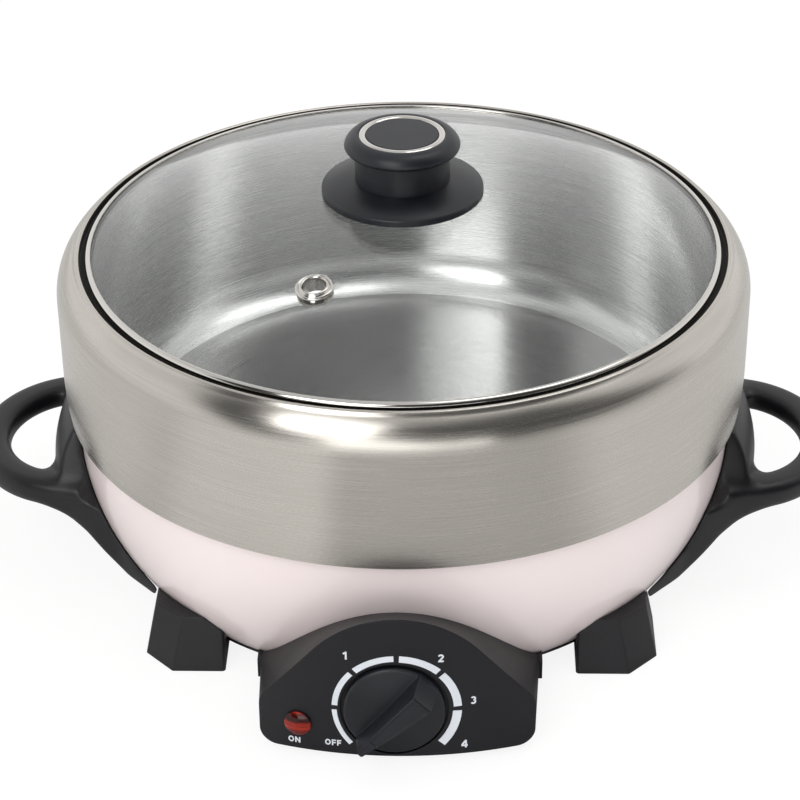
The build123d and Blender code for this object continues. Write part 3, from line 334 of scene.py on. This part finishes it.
def brushed(name, dark, light, rough, stretch, depth, painted_shade_zones=()):
    """Steel brushed round the pot: fine lines in colour, roughness and bump, highlights drawn across
    them. Each zone of painted shade lies between two distances from the axis, is darkened by a share,
    and has its roughness changed by an amount."""
    material, nodes, links, shader = plain_shader(name, light, 1.0, rough[0])
    lines_along, lines_across = 3.0, 2600.0
    radius, vector = round_place(nodes, links, lines_along, lines_across)
    lines = noise(nodes, links, vector, 1.0, 4.0)
    place = nodes.new("ShaderNodeTexCoord").outputs["Object"]
    patches = spread(nodes, links, noise(nodes, links, place, 9.0), 0.9, 1.1)
    shade = spread(nodes, links, arithmetic(nodes, links, "MULTIPLY", lines, patches), 0.0, 1.0, 0.25)
    colour = tinted(nodes, links, shade, dark, light)
    roughness = spread(nodes, links, lines, rough[0], rough[1])
    # Painted shade: each zone's colour is mixed towards a dark grey.
    for start, end, share, extra in painted_shade_zones:
        past = arithmetic(nodes, links, "GREATER_THAN", radius, start)
        short = arithmetic(nodes, links, "LESS_THAN", radius, end)
        within = arithmetic(nodes, links, "MULTIPLY", past, short)
        painted_shade_mix = nodes.new("ShaderNodeMixRGB")
        painted_shade_mix.inputs["Color2"].default_value = screen(52, 50, 48)
        links.new(arithmetic(nodes, links, "MULTIPLY", within, share), painted_shade_mix.inputs["Fac"])
        links.new(colour, painted_shade_mix.inputs["Color1"])
        colour = painted_shade_mix.outputs["Color"]
        change = arithmetic(nodes, links, "MULTIPLY", within, extra)
        roughness = arithmetic(nodes, links, "ADD", roughness, change)
    links.new(colour, shader.inputs["Base Color"])
    links.new(roughness, shader.inputs["Roughness"])
    shader.inputs["Anisotropic"].default_value = stretch
    shader.inputs["Anisotropic Rotation"].default_value = 0.25
    tangent = nodes.new("ShaderNodeTangent")
    tangent.direction_type = "RADIAL"
    tangent.axis = "Z"
    links.new(tangent.outputs[0], shader.inputs["Tangent"])
    bump = nodes.new("ShaderNodeBump")
    bump.inputs["Distance"].default_value = depth
    links.new(lines, bump.inputs["Height"])
    links.new(bump.outputs["Normal"], shader.inputs["Normal"])
    return material


def new_piece(name, mesh, material, body, slot, *replaced):
    """Object made of a finished mesh, riding on a body in place of the CAD pieces named."""
    piece = bpy.data.objects.new(name, mesh)
    bpy.context.scene.collection.objects.link(piece)
    mesh.materials.clear()
    mesh.materials.append(material)
    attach(piece, body)
    if replaced:
        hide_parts(*replaced)
    return piece


def grid_faces(rows, columns, loop_rows, first=0):
    """Quads between neighbouring points of a grid whose columns close on themselves; loop_rows joins
    its last row to its first as well."""
    quad_rows = rows if loop_rows else rows - 1
    row, column = np.meshgrid(np.arange(quad_rows), np.arange(columns), indexing="ij")
    next_row, next_column = (row + 1) % rows, (column + 1) % columns
    quads = np.stack([row * columns + column, row * columns + next_column,
                      next_row * columns + next_column, next_row * columns + column], axis=-1)
    return (quads.reshape(-1, 4) + first).tolist()


def faced_mesh(name, points, faces, sharp):
    """Smooth-shaded mesh whose faces look outwards, with edges sharper than an angle in degrees kept."""
    mesh = bpy.data.meshes.new(name)
    mesh.from_pydata(points.tolist(), [], faces)
    work = bmesh.new()
    work.from_mesh(mesh)
    bmesh.ops.recalc_face_normals(work, faces=work.faces)
    work.to_mesh(mesh)
    work.free()
    mesh.shade_smooth()
    mesh.set_sharp_from_angle(angle=math.radians(sharp))
    return mesh


def turned(name, profile, centre, axes, segments):
    """Closed profile of (radius, height) in millimetres turned about the third of three axes through
    a centre: point (i, j) is centre + r_i cos a_j axis_1 + r_i sin a_j axis_2 + h_i axis_3. Edges
    sharper than 35 degrees stay sharp."""
    radius, height = np.array(profile).T[..., None] * mm
    angle = np.linspace(0.0, 2.0 * math.pi, segments, endpoint=False)
    points = centre + ((radius * np.cos(angle))[..., None] * axes[0]
                       + (radius * np.sin(angle))[..., None] * axes[1]
                       + (height * np.ones_like(angle))[..., None] * axes[2])
    return faced_mesh(name, points.reshape(-1, 3), grid_faces(len(profile), segments, True), 35.0)


def arc(centre, radius, start, end, count):
    """Points on an arc of a profile: centre + radius (cos a, sin a), a from start to end in degrees."""
    angle = np.radians(np.linspace(start, end, count))
    return [(centre[0] + radius * math.cos(a), centre[1] + radius * math.sin(a)) for a in angle]


pot_foot = np.array([0.0, axis_y, 0.0])
rim, rim_opening, widest = 150.0, 140.0, 150.8
shoulder_drop, shoulder_inset = 15.8, 8.7
shoulder_radius = (shoulder_drop ** 2 + shoulder_inset ** 2) / (2.0 * shoulder_inset)
shoulder_end = math.degrees(math.asin(shoulder_drop / shoulder_radius)) - 3.0
shoulder_centre = (widest - shoulder_radius, rim - shoulder_drop)
tuck_radius, tuck_height, tuck_angle = 135.6, 100.0, -7.6
tuck_centre = (widest - tuck_radius, tuck_height)
bead_radius, band_sheet = 1.3, 1.0
bead_centre = (rim_opening + bead_radius, rim - 0.4)
band_profile = arc(tuck_centre, tuck_radius, tuck_angle, 0.0, 8)
band_profile += arc(shoulder_centre, shoulder_radius, 0.0, shoulder_end, 20)
band_profile += arc(bead_centre, bead_radius, 30.0, 180.0, 14)
lip_foot, lip_back, under_bead = 148.0, 141.2, (142.0, 149.0)
band_profile += [(rim_opening, lip_foot), (lip_back, lip_foot), (lip_back, under_bead[1]), under_bead]
band_profile += arc(shoulder_centre, shoulder_radius - band_sheet, shoulder_end, 0.0, 20)
band_profile += arc(tuck_centre, tuck_radius - band_sheet, 0.0, tuck_angle, 8)
band_mesh = turned("pot_band_sheet", band_profile, pot_foot, np.eye(3), 288)
# Painted shade: the band's inner lip, in the deep gap round the lid, is darkened in its colour.
lip_shade = (138.5 * mm, 140.4 * mm, 1.0, 0.4)
band_steel = brushed("band_steel", screen(198, 193, 185), screen(214, 209, 201), (0.24, 0.29), 0.75,
                     0.0012 * mm, [lip_shade])
new_piece("pot_band_sheet", band_mesh, band_steel, "pot", "satin_steel", "pot_band")

# Painted shade: the ledge that the lid sits on and the floor inside 121.5 mm are darkened in the steel's
# colour.
seat_shade, floor_shade = (135.2 * mm, 150.0 * mm, 0.85, 0.4), (-1.0, 121.5 * mm, 0.42, -0.04)
pot_steel = brushed("pot_steel", screen(222, 222, 221), screen(250, 250, 249), (0.22, 0.30), 0.8,
                    0.0008 * mm, [seat_shade, floor_shade])
dress(pot_steel, "pot_inner")
aluminium = grained("cast_aluminium", screen(160, 160, 162), screen(188, 188, 190), 1.0, (0.45, 0.6), 500.0,
                    0.08 * mm)
dress(aluminium, "pot_disc")

# ---- Lid ----
# The lid is a slumped disc of clear tempered glass. A polished steel rim with a rounded top is crimped
# round its edge, and a steel eyelet with a raised ring is riveted through it as the steam vent.

glass, nodes, links, shader = plain_shader("lid_glass", (0.975, 0.985, 0.98, 1.0), 0.0, 0.0)
shader.inputs["Transmission Weight"].default_value = 1.0
shader.inputs["IOR"].default_value = 1.5
place = nodes.new("ShaderNodeTexCoord").outputs["Object"]
links.new(spread(nodes, links, noise(nodes, links, place, 14.0), 0.0, 0.012), shader.inputs["Roughness"])
clear = nodes.new("ShaderNodeBsdfTransparent")
clear.inputs["Color"].default_value = (0.94, 0.95, 0.945, 1.0)
rays = nodes.new("ShaderNodeLightPath")
passing = nodes.new("ShaderNodeMixShader")
links.new(rays.outputs["Is Shadow Ray"], passing.inputs[0])
links.new(shader.outputs[0], passing.inputs[1])
links.new(clear.outputs[0], passing.inputs[2])
links.new(passing.outputs[0], nodes["Material Output"].inputs["Surface"])
dress(glass, "lid_glass")

polished = brushed("polished_rim", screen(218, 214, 208), screen(230, 227, 222), (0.08, 0.13), 0.2,
                   0.0005 * mm)
rim_foot, rim_top, rim_outside = 144.5, 151.8, 137.8
rim_bend, rim_edge, rim_sheet = 2.1, 0.5, 0.8
bend_centre = (rim_outside - rim_bend, rim_top - rim_bend)
edge_centre = (rim_outside - rim_bend, rim_top - rim_edge)
rim_profile = [(rim_outside, rim_foot)] + arc(bend_centre, rim_bend, 0.0, 90.0, 12)
rim_profile += arc(edge_centre, rim_edge, 90.0, 270.0, 9)
rim_profile += arc(bend_centre, rim_bend - 2.0 * rim_edge, 90.0, 0.0, 8)
rim_profile += [(rim_outside - rim_sheet, rim_foot)]
rim_mesh = turned("lid_rim", rim_profile, pot_foot, np.eye(3), 288)
new_piece("lid_rim", rim_mesh, polished, "lid", "polished_steel", "lid_rim_band")

vent_turn, vent_slope = math.radians(245.0), math.radians(12.49)
vent_reach, vent_height = 81.2, 167.41
outward = np.array([math.cos(vent_turn), math.sin(vent_turn), 0.0])
upright = np.array([0.0, 0.0, 1.0])
vent_centre = pot_foot + (vent_reach * outward + vent_height * upright) * mm
vent_axes = np.array([
    math.cos(vent_slope) * outward - math.sin(vent_slope) * upright,
    [-math.sin(vent_turn), math.cos(vent_turn), 0.0],
    math.sin(vent_slope) * outward + math.cos(vent_slope) * upright])
vent_profile = [(4.9, -5.3)] + arc((5.6, 1.2), 0.7, 180.0, 0.0, 11)
vent_profile += arc((7.3, 0.45), 0.8, 145.0, -25.0, 12)
vent_profile += [(5.7, 0.1), (5.7, -4.1), (7.6, -4.1), (7.6, -5.3)]
vent_mesh = turned("vent_eyelet", vent_profile, vent_centre, vent_axes, 72)
new_piece("vent_eyelet", vent_mesh, polished, "lid", "polished_steel", "steam_vent")

# ---- Lid knob ----
# The knob is moulded in satin black phenolic on a dished flange, with a bright ring round its cap. A
# screw from below, a washer and a rubber gasket clamp it to the glass.

knob_black = grained("knob_moulding", screen(26, 27, 32), screen(35, 36, 42), 0.0, (0.32, 0.42), 2600.0,
                     0.05 * mm, patch=40.0, edge=0.4 * mm)
dress(knob_black, "knob_flange", "knob_grip", "knob_cap")
dress(polished, "knob_trim_ring")
rubber = grained("rubber", screen(22, 22, 22), screen(34, 34, 34), 0.0, (0.75, 0.9), 900.0, 0.1 * mm)
dress(rubber, "knob_gasket")
galvanised = grained("galvanised_sheet", screen(150, 152, 154), screen(188, 190, 192), 1.0, (0.35, 0.5),
                     260.0, 0.02 * mm)
dress(galvanised, "knob_washer")
zinc = grained("zinc_plate", screen(176, 178, 184), screen(205, 207, 212), 1.0, (0.22, 0.34), 800.0,
               0.01 * mm)
dress(zinc, "knob_screw")
brass = grained("brass", screen(196, 160, 96), screen(222, 188, 120), 1.0, (0.25, 0.38), 900.0, 0.01 * mm)
dress(brass, "knob_insert")

# ---- Side handles ----
# Each handle is one black moulding: a flat-topped loop whose limbs run out softly into a strip that
# hugs the bowl. Two screws from inside the bowl hold it.

black = grained("black_moulding", screen(20, 20, 23), screen(27, 27, 31), 0.0, (0.36, 0.46), 1400.0,
                0.06 * mm, patch=25.0, edge=0.9 * mm)


def melted(name, node, cell, fillet, passes):
    """The solid piece's own shape with its inner corners filled to a radius: it swells by that radius,
    is melted on a fine grid of cells, and shrinks back. Each pass then moves every point half-way to
    the middle of its neighbours, which rounds the outer edges."""
    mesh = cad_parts[node].data.copy()
    work = bmesh.new()
    work.from_mesh(mesh)
    bmesh.ops.remove_doubles(work, verts=work.verts, dist=0.01 * mm)
    work.to_mesh(mesh)
    work.free()
    piece = new_piece(name, mesh, black, "base", "black_plastic", node)
    for step, shift in (("swollen", fillet), ("shrunk", -fillet)):
        grid = piece.modifiers.new(step + "_grid", "REMESH")
        grid.mode = "VOXEL"
        grid.voxel_size = cell
        grid.use_smooth_shade = True
        move = piece.modifiers.new(step, "DISPLACE")
        move.strength = shift
        move.mid_level = 0.0
    melt = piece.modifiers.new("melt", "SMOOTH")
    melt.factor = 0.5
    melt.iterations = passes


handle_cell, handle_fillet, handle_passes = 1.2 * mm, 2.5 * mm, 24
melted("right_handle_moulding", "handle_right", handle_cell, handle_fillet, handle_passes)
melted("left_handle_moulding", "handle_left", handle_cell, handle_fillet, handle_passes)
dress(zinc, "handle_screws")

# ---- Feet ----
# Four hollow black mouldings stand under the bowl, each on a rubber pad and held by a screw through
# the bottom plate.

dress(black, "foot_front_left", "foot_front_right", "foot_rear_left", "foot_rear_right")
dress(rubber, "foot_pads")
dress(zinc, "foot_screws")

# ---- Control box ----
# The box in front is a black moulding with a shallow round recess for the heat knob, closed by a flat
# cover. Its scale and words are printed in white on the gently curved face.

box_black = grained("box_moulding", screen(18, 18, 23), screen(25, 25, 31), 0.0, (0.48, 0.58), 1400.0,
                    0.06 * mm, patch=25.0, edge=0.9 * mm)
box_black.node_tree.nodes["Principled BSDF"].inputs["Specular IOR Level"].default_value = 0.48
dress(box_black, "control_housing", "housing_cover")
ink = grained("white_ink", screen(216, 221, 229), screen(228, 232, 238), 0.0, (0.45, 0.55), 2000.0,
              0.01 * mm)
dress(ink, "dial_scale")

face_foot_radius, face_foot_height = 170.7 * mm, 4.0 * mm
face_lean, face_rise = 3.3 * mm, 66.5 * mm
ink_thickness = 0.15 * mm


def face_radius(height):
    """Radius of the face about the pot's axis, which falls evenly with height."""
    return face_foot_radius - face_lean * (height - face_foot_height) / face_rise


def bend(x, z, wide, high, start, end):
    """Points on part of an ellipse round (x, z), from one angle to the other in degrees."""
    angle = np.radians(np.linspace(start, end, 25))
    return list(zip(x + wide * np.cos(angle), z + high * np.sin(angle)))


# Width of each sign and the centre lines of its strokes, for a height of 1.
stroke_width = 0.2
signs = {
    "O": (0.84, [bend(0.42, 0.5, 0.32, 0.4, 0, 360)]),
    "F": (0.62, [[(0.1, 0), (0.1, 1)], [(0.2, 0.9), (0.62, 0.9)], [(0.2, 0.48), (0.56, 0.48)]]),
    "N": (0.78, [[(0.1, 0), (0.1, 1)], [(0.68, 0), (0.68, 1)], [(0.13, 0.9), (0.65, 0.1)]]),
    "1": (0.42, [[(0.32, 0), (0.32, 1)], [(0.02, 0.7), (0.3, 0.88)]]),
    "2": (0.64, [bend(0.32, 0.69, 0.22, 0.21, 165, -35) + [(0.12, 0.12)], [(0.02, 0.1), (0.62, 0.1)]]),
    "3": (0.62, [bend(0.29, 0.705, 0.2, 0.195, 150, -90), bend(0.29, 0.31, 0.22, 0.21, 90, -150)]),
    "4": (0.70, [[(0.5, 0), (0.5, 1)], [(0.42, 0.9), (0.07, 0.34)], [(0.02, 0.3), (0.7, 0.3)]]),
}


def stroke(line, width):
    """Flat ribbon along a line: each point moves half the width to either side, square to the mean
    direction of the line there and lengthened by one over the cosine of half the turn."""
    line = np.array(line)
    steps = np.diff(line, axis=0)
    steps /= np.linalg.norm(steps, axis=1, keepdims=True)
    before, after = np.vstack([steps[:1], steps]), np.vstack([steps, steps[-1:]])
    if np.allclose(line[0], line[-1]):
        before[0], after[-1] = steps[-1], steps[0]
    along = before + after
    along /= np.linalg.norm(along, axis=1, keepdims=True)
    square = np.column_stack([-along[:, 1], along[:, 0]]) / (along * before).sum(axis=1, keepdims=True)
    return np.vstack([line + square * width / 2.0, line - square * width / 2.0])


def printed(name, words, centre_x, centre_z, cap_height):
    """Signs pressed straight back onto the face: a point (x, z) goes a third of the ink's thickness in
    front of the depth at which its distance from the axis is the face's radius at z."""
    points, faces, pen, gap = [], [], 0.0, 0.15
    for sign in words:
        width, lines = signs[sign]
        for line in lines:
            first, count = sum(len(part) for part in points), len(line)
            points.append(stroke(line, stroke_width) + (pen, 0.0))
            faces += [(first + i, first + i + 1, first + count + i + 1, first + count + i)
                      for i in range(count - 1)]
        pen += width + gap
    flat = np.vstack(points)
    x = (flat[:, 0] - (pen - gap) / 2.0) * cap_height + centre_x
    z = (flat[:, 1] - 0.5) * cap_height + centre_z
    y = axis_y - np.sqrt(face_radius(z) ** 2 - x ** 2) - ink_thickness / 3.0
    mesh = bpy.data.meshes.new(name)
    mesh.from_pydata(np.column_stack([x, y, z]).tolist(), [], faces)
    piece = new_piece(name, mesh, ink, "base", "print_white")
    solid = piece.modifiers.new("thickness", "SOLIDIFY")
    solid.thickness = ink_thickness
    solid.offset = -1.0


printed("mark_off", "OFF", -26.0 * mm, 9.2 * mm, 2.8 * mm)
printed("mark_on", "ON", -42.0 * mm, 8.2 * mm, 2.8 * mm)
for number, x, z in ((1, -20.5, 52.4), (2, 17.8, 51.6), (3, 30.9, 30.0), (4, 27.4, 8.8)):
    printed("mark_%d" % number, str(number), x * mm, z * mm, 3.7 * mm)

# ---- Power lamp ----
# A clear red lens is pushed into the box over a neon tube that lies across it. The ribs inside the
# lens and the tube behind them are painted into its colour as level bands: painted light, brightest
# in front of the tube and at the top and bottom edges, and painted shade between.

lens_low, lens_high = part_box("lamp_lens")
lens, nodes, links, shader = plain_shader("red_lens", screen(150, 30, 18), 0.0, 0.06)
shader.inputs["Coat Weight"].default_value = 0.3
shader.inputs["Coat Roughness"].default_value = 0.02
shader.inputs["Specular IOR Level"].default_value = 0.25
place = nodes.new("ShaderNodeTexCoord").outputs["Object"]
parts = nodes.new("ShaderNodeSeparateXYZ")
links.new(place, parts.inputs[0])
lens_share = arithmetic(nodes, links, "SUBTRACT", parts.outputs["Z"], lens_low.z)
lens_share = arithmetic(nodes, links, "DIVIDE", lens_share, lens_high.z - lens_low.z)
wavering = spread(nodes, links, noise(nodes, links, place, 500.0), -0.02, 0.02)
# Painted light and shade: the lens's colour runs through level bands with height.
bands = nodes.new("ShaderNodeValToRGB")
painted_band_colours = [
    (0.0, (150, 42, 28)), (0.10, (74, 14, 11)), (0.18, (120, 28, 20)), (0.24, (66, 12, 9)),
    (0.30, (138, 36, 24)), (0.44, (156, 46, 30)), (0.47, (92, 20, 14)), (0.50, (146, 42, 28)),
    (0.62, (124, 32, 24)), (0.66, (52, 12, 10)), (0.76, (48, 14, 12)), (0.92, (72, 18, 15)),
    (1.0, (150, 44, 32))]
elements = bands.color_ramp.elements
elements[1].position = 1.0
elements[0].color, elements[1].color = screen(*painted_band_colours[0][1]), screen(*painted_band_colours[-1][1])
for position, colour in painted_band_colours[1:-1]:
    elements.new(position).color = screen(*colour)
links.new(arithmetic(nodes, links, "ADD", lens_share, wavering), bands.inputs[0])
links.new(bands.outputs["Color"], shader.inputs["Base Color"])
dress(lens, "lamp_lens")
neon = grained("neon_glass", screen(214, 120, 84), screen(232, 150, 112), 0.0, (0.1, 0.2), 600.0, 0.01 * mm)
dress(neon, "neon_lamp")

# ---- Heat knob ----
# The knob is a low black dome with a pointer bar moulded across it. The bar narrows to its tip, its
# blunt end slopes down steeply, and its top is sunk in a shallow panel.

dial_x, dial_z = -1.0 * mm, 26.8 * mm
dial_lean = math.atan(face_lean / face_rise)
dial_centre = np.array([dial_x, axis_y - face_radius(dial_z), dial_z])
outwards = np.array([0.0, -math.cos(dial_lean), math.sin(dial_lean)])
upwards = np.array([0.0, math.sin(dial_lean), math.cos(dial_lean)])
sideways = np.array([1.0, 0.0, 0.0])
pointer_angle = math.radians(225.0)


def on_dial(along, beside, height):
    """Points given in millimetres along the pointer, beside it and above the face, in the scene."""
    right = along * math.cos(pointer_angle) - beside * math.sin(pointer_angle)
    high = along * math.sin(pointer_angle) + beside * math.cos(pointer_angle)
    return dial_centre + (right[..., None] * sideways + high[..., None] * upwards
                          + height[..., None] * outwards) * mm


def closed_loft(points, first):
    """Faces of a grid of rings, its first and last ring closed by one face each."""
    rows, columns = points.shape[:2]
    last = first + (rows - 1) * columns
    ends = [list(range(first, first + columns)), list(range(last, last + columns))]
    return grid_faces(rows, columns, False, first) + ends


def knob_disc():
    """Profile of the disc turned about its axis: point (i, j) lies at radius r_i, angle a_j and
    height h_i. The edge is a quarter round, and the dome falls with the square of the radius."""
    angle = np.linspace(0.0, 2.0 * math.pi, 96, endpoint=False)
    edge = np.radians(np.linspace(0.0, 90.0, 7))
    dome_radius, edge_radius, dome_foot, dome_rise = 19.2, 1.4, 1.3, 1.8
    pole, back, edge_foot = 0.02, -2.0, -0.6
    dome = np.linspace(dome_radius, pole, 16)[1:]
    dome_height = dome_foot + dome_rise * (1.0 - (dome / dome_radius) ** 2)
    outside = dome_radius + edge_radius
    radius = np.concatenate([[pole, outside, outside], dome_radius + edge_radius * np.cos(edge), dome])
    height = np.concatenate([[back, back, edge_foot], dome_foot - edge_radius + edge_radius * np.sin(edge),
                             dome_height])
    return on_dial(radius[:, None] * np.cos(angle), radius[:, None] * np.sin(angle),
                   np.repeat(height[:, None], len(angle), axis=1))


def pointer_bar():
    """Bar lofted along the pointer. Each station gives its place, the half width of its base and of
    its top, and its height. Half a section runs from the base, up the side, round the top edge, over
    the rim and down into the panel; its mirror image closes it."""
    stations = np.array([
        (-20.4, 5.4, 5.3, 0.6), (-19.6, 5.4, 5.2, 3.0), (-16.6, 5.3, 4.9, 12.0), (-16.2, 5.3, 4.85, 12.6),
        (-15.6, 5.3, 4.8, 12.9), (-15.0, 5.25, 4.75, 13.0), (0.0, 4.3, 3.6, 12.7), (11.5, 3.2, 2.3, 12.4),
        (18.8, 2.5, 1.3, 12.3), (19.4, 2.4, 1.1, 12.1), (19.8, 2.2, 0.8, 11.6), (20.0, 2.0, 0.5, 10.8)])
    panel_depth, panel_ends = 0.55, [-15.2, -14.6, 11.2, 11.8]
    near_panel_ends = [-15.3, -14.9, -14.4, 11.0, 11.4, 11.8]
    evenly = np.linspace(stations[0, 0], stations[-1, 0], 60)
    along = np.unique(np.concatenate([stations[:, 0], evenly, near_panel_ends]))
    base, top, height = (np.interp(along, stations[:, 0], stations[:, column]) for column in (1, 2, 3))
    sunk = panel_depth * np.interp(along, panel_ends, [0.0, 1.0, 1.0, 0.0])
    rounding = np.minimum(0.45, top * 0.4)
    half = [(base, np.full_like(along, -1.0)), (base, np.minimum(0.9, height))]
    half += [(top - rounding * (1.0 - math.cos(a)), height - rounding * (1.0 - math.sin(a)))
             for a in np.linspace(0.0, math.pi / 2.0, 5)]
    half += [(top * 0.84, height), (top * 0.79, height - 0.15 * sunk), (top * 0.73, height - 0.6 * sunk),
             (top * 0.67, height - sunk)]
    beside = np.stack([side for side, _ in half] + [-side for side, _ in reversed(half)], axis=1)
    above = np.stack([high for _, high in half] + [high for _, high in reversed(half)], axis=1)
    return on_dial(np.repeat(along[:, None], beside.shape[1], axis=1), beside, above)


disc, bar = knob_disc(), pointer_bar()
disc_points, bar_points = disc.reshape(-1, 3), bar.reshape(-1, 3)
knob_faces = closed_loft(disc, 0) + closed_loft(bar, len(disc_points))
knob_mesh = faced_mesh("heat_knob_moulding", np.vstack([disc_points, bar_points]), knob_faces, 32.0)
new_piece("heat_knob_moulding", knob_mesh, knob_black, "heat_knob", "knob_plastic", "control_knob")

# ---- Heating ----
# A cast aluminium plate with the tubular element pressed into its underside sits on three posts. A
# galvanised liner closes the well round it, and ceramic bushings lead out the element's ends.

dress(aluminium, "heating_plate")
dress(galvanised, "well_liner", "bulb_clip", "fuse_clip")
sheath = grained("heat_darkened_sheath", screen(58, 54, 52), screen(88, 82, 78), 1.0, (0.5, 0.65), 400.0,
                 0.05 * mm)
dress(sheath, "heating_element")
dress(zinc, "plate_posts", "post_screws", "element_terminals")
ceramic = grained("ceramic", screen(226, 222, 210), screen(238, 235, 226), 0.0, (0.25, 0.35), 300.0,
                  0.02 * mm)
dress(ceramic, "terminal_bushings", "thermal_fuse")

# ---- Thermostat and wiring ----
# A capillary thermostat behind the heat knob reads a bulb clipped under the plate. Sleeved leads join
# it, the fuse and the element to the inlet's terminal block.

phenolic = grained("phenolic", screen(62, 52, 46), screen(78, 66, 58), 0.0, (0.45, 0.6), 700.0, 0.03 * mm)
dress(phenolic, "thermostat_body")
dress(brass, "thermostat_nut", "thermostat_shaft")
copper = grained("copper", screen(180, 110, 80), screen(214, 140, 104), 1.0, (0.28, 0.4), 600.0, 0.01 * mm)
dress(copper, "sensor_bulb", "capillary")
sleeve = grained("woven_sleeve", screen(206, 204, 196), screen(228, 226, 218), 0.0, (0.7, 0.85), 1800.0,
                 0.1 * mm)
dress(sleeve, "element_lead_left", "element_lead_right")
silicone = grained("silicone_sleeve", screen(88, 58, 42), screen(106, 72, 54), 0.0, (0.5, 0.6), 400.0,
                   0.02 * mm)
dress(silicone, "supply_lead")
nylon = grained("nylon", screen(222, 219, 208), screen(234, 231, 221), 0.0, (0.4, 0.5), 500.0, 0.02 * mm)
dress(nylon, "terminal_block")

# ---- Bottom plate and mains inlet ----
# A black-painted steel plate closes the bowl from below. The inlet at the back is a black moulding
# with three brass pins, and takes a removable cord.

dress(black, "bottom_plate", "power_inlet")
dress(brass, "inlet_pins")
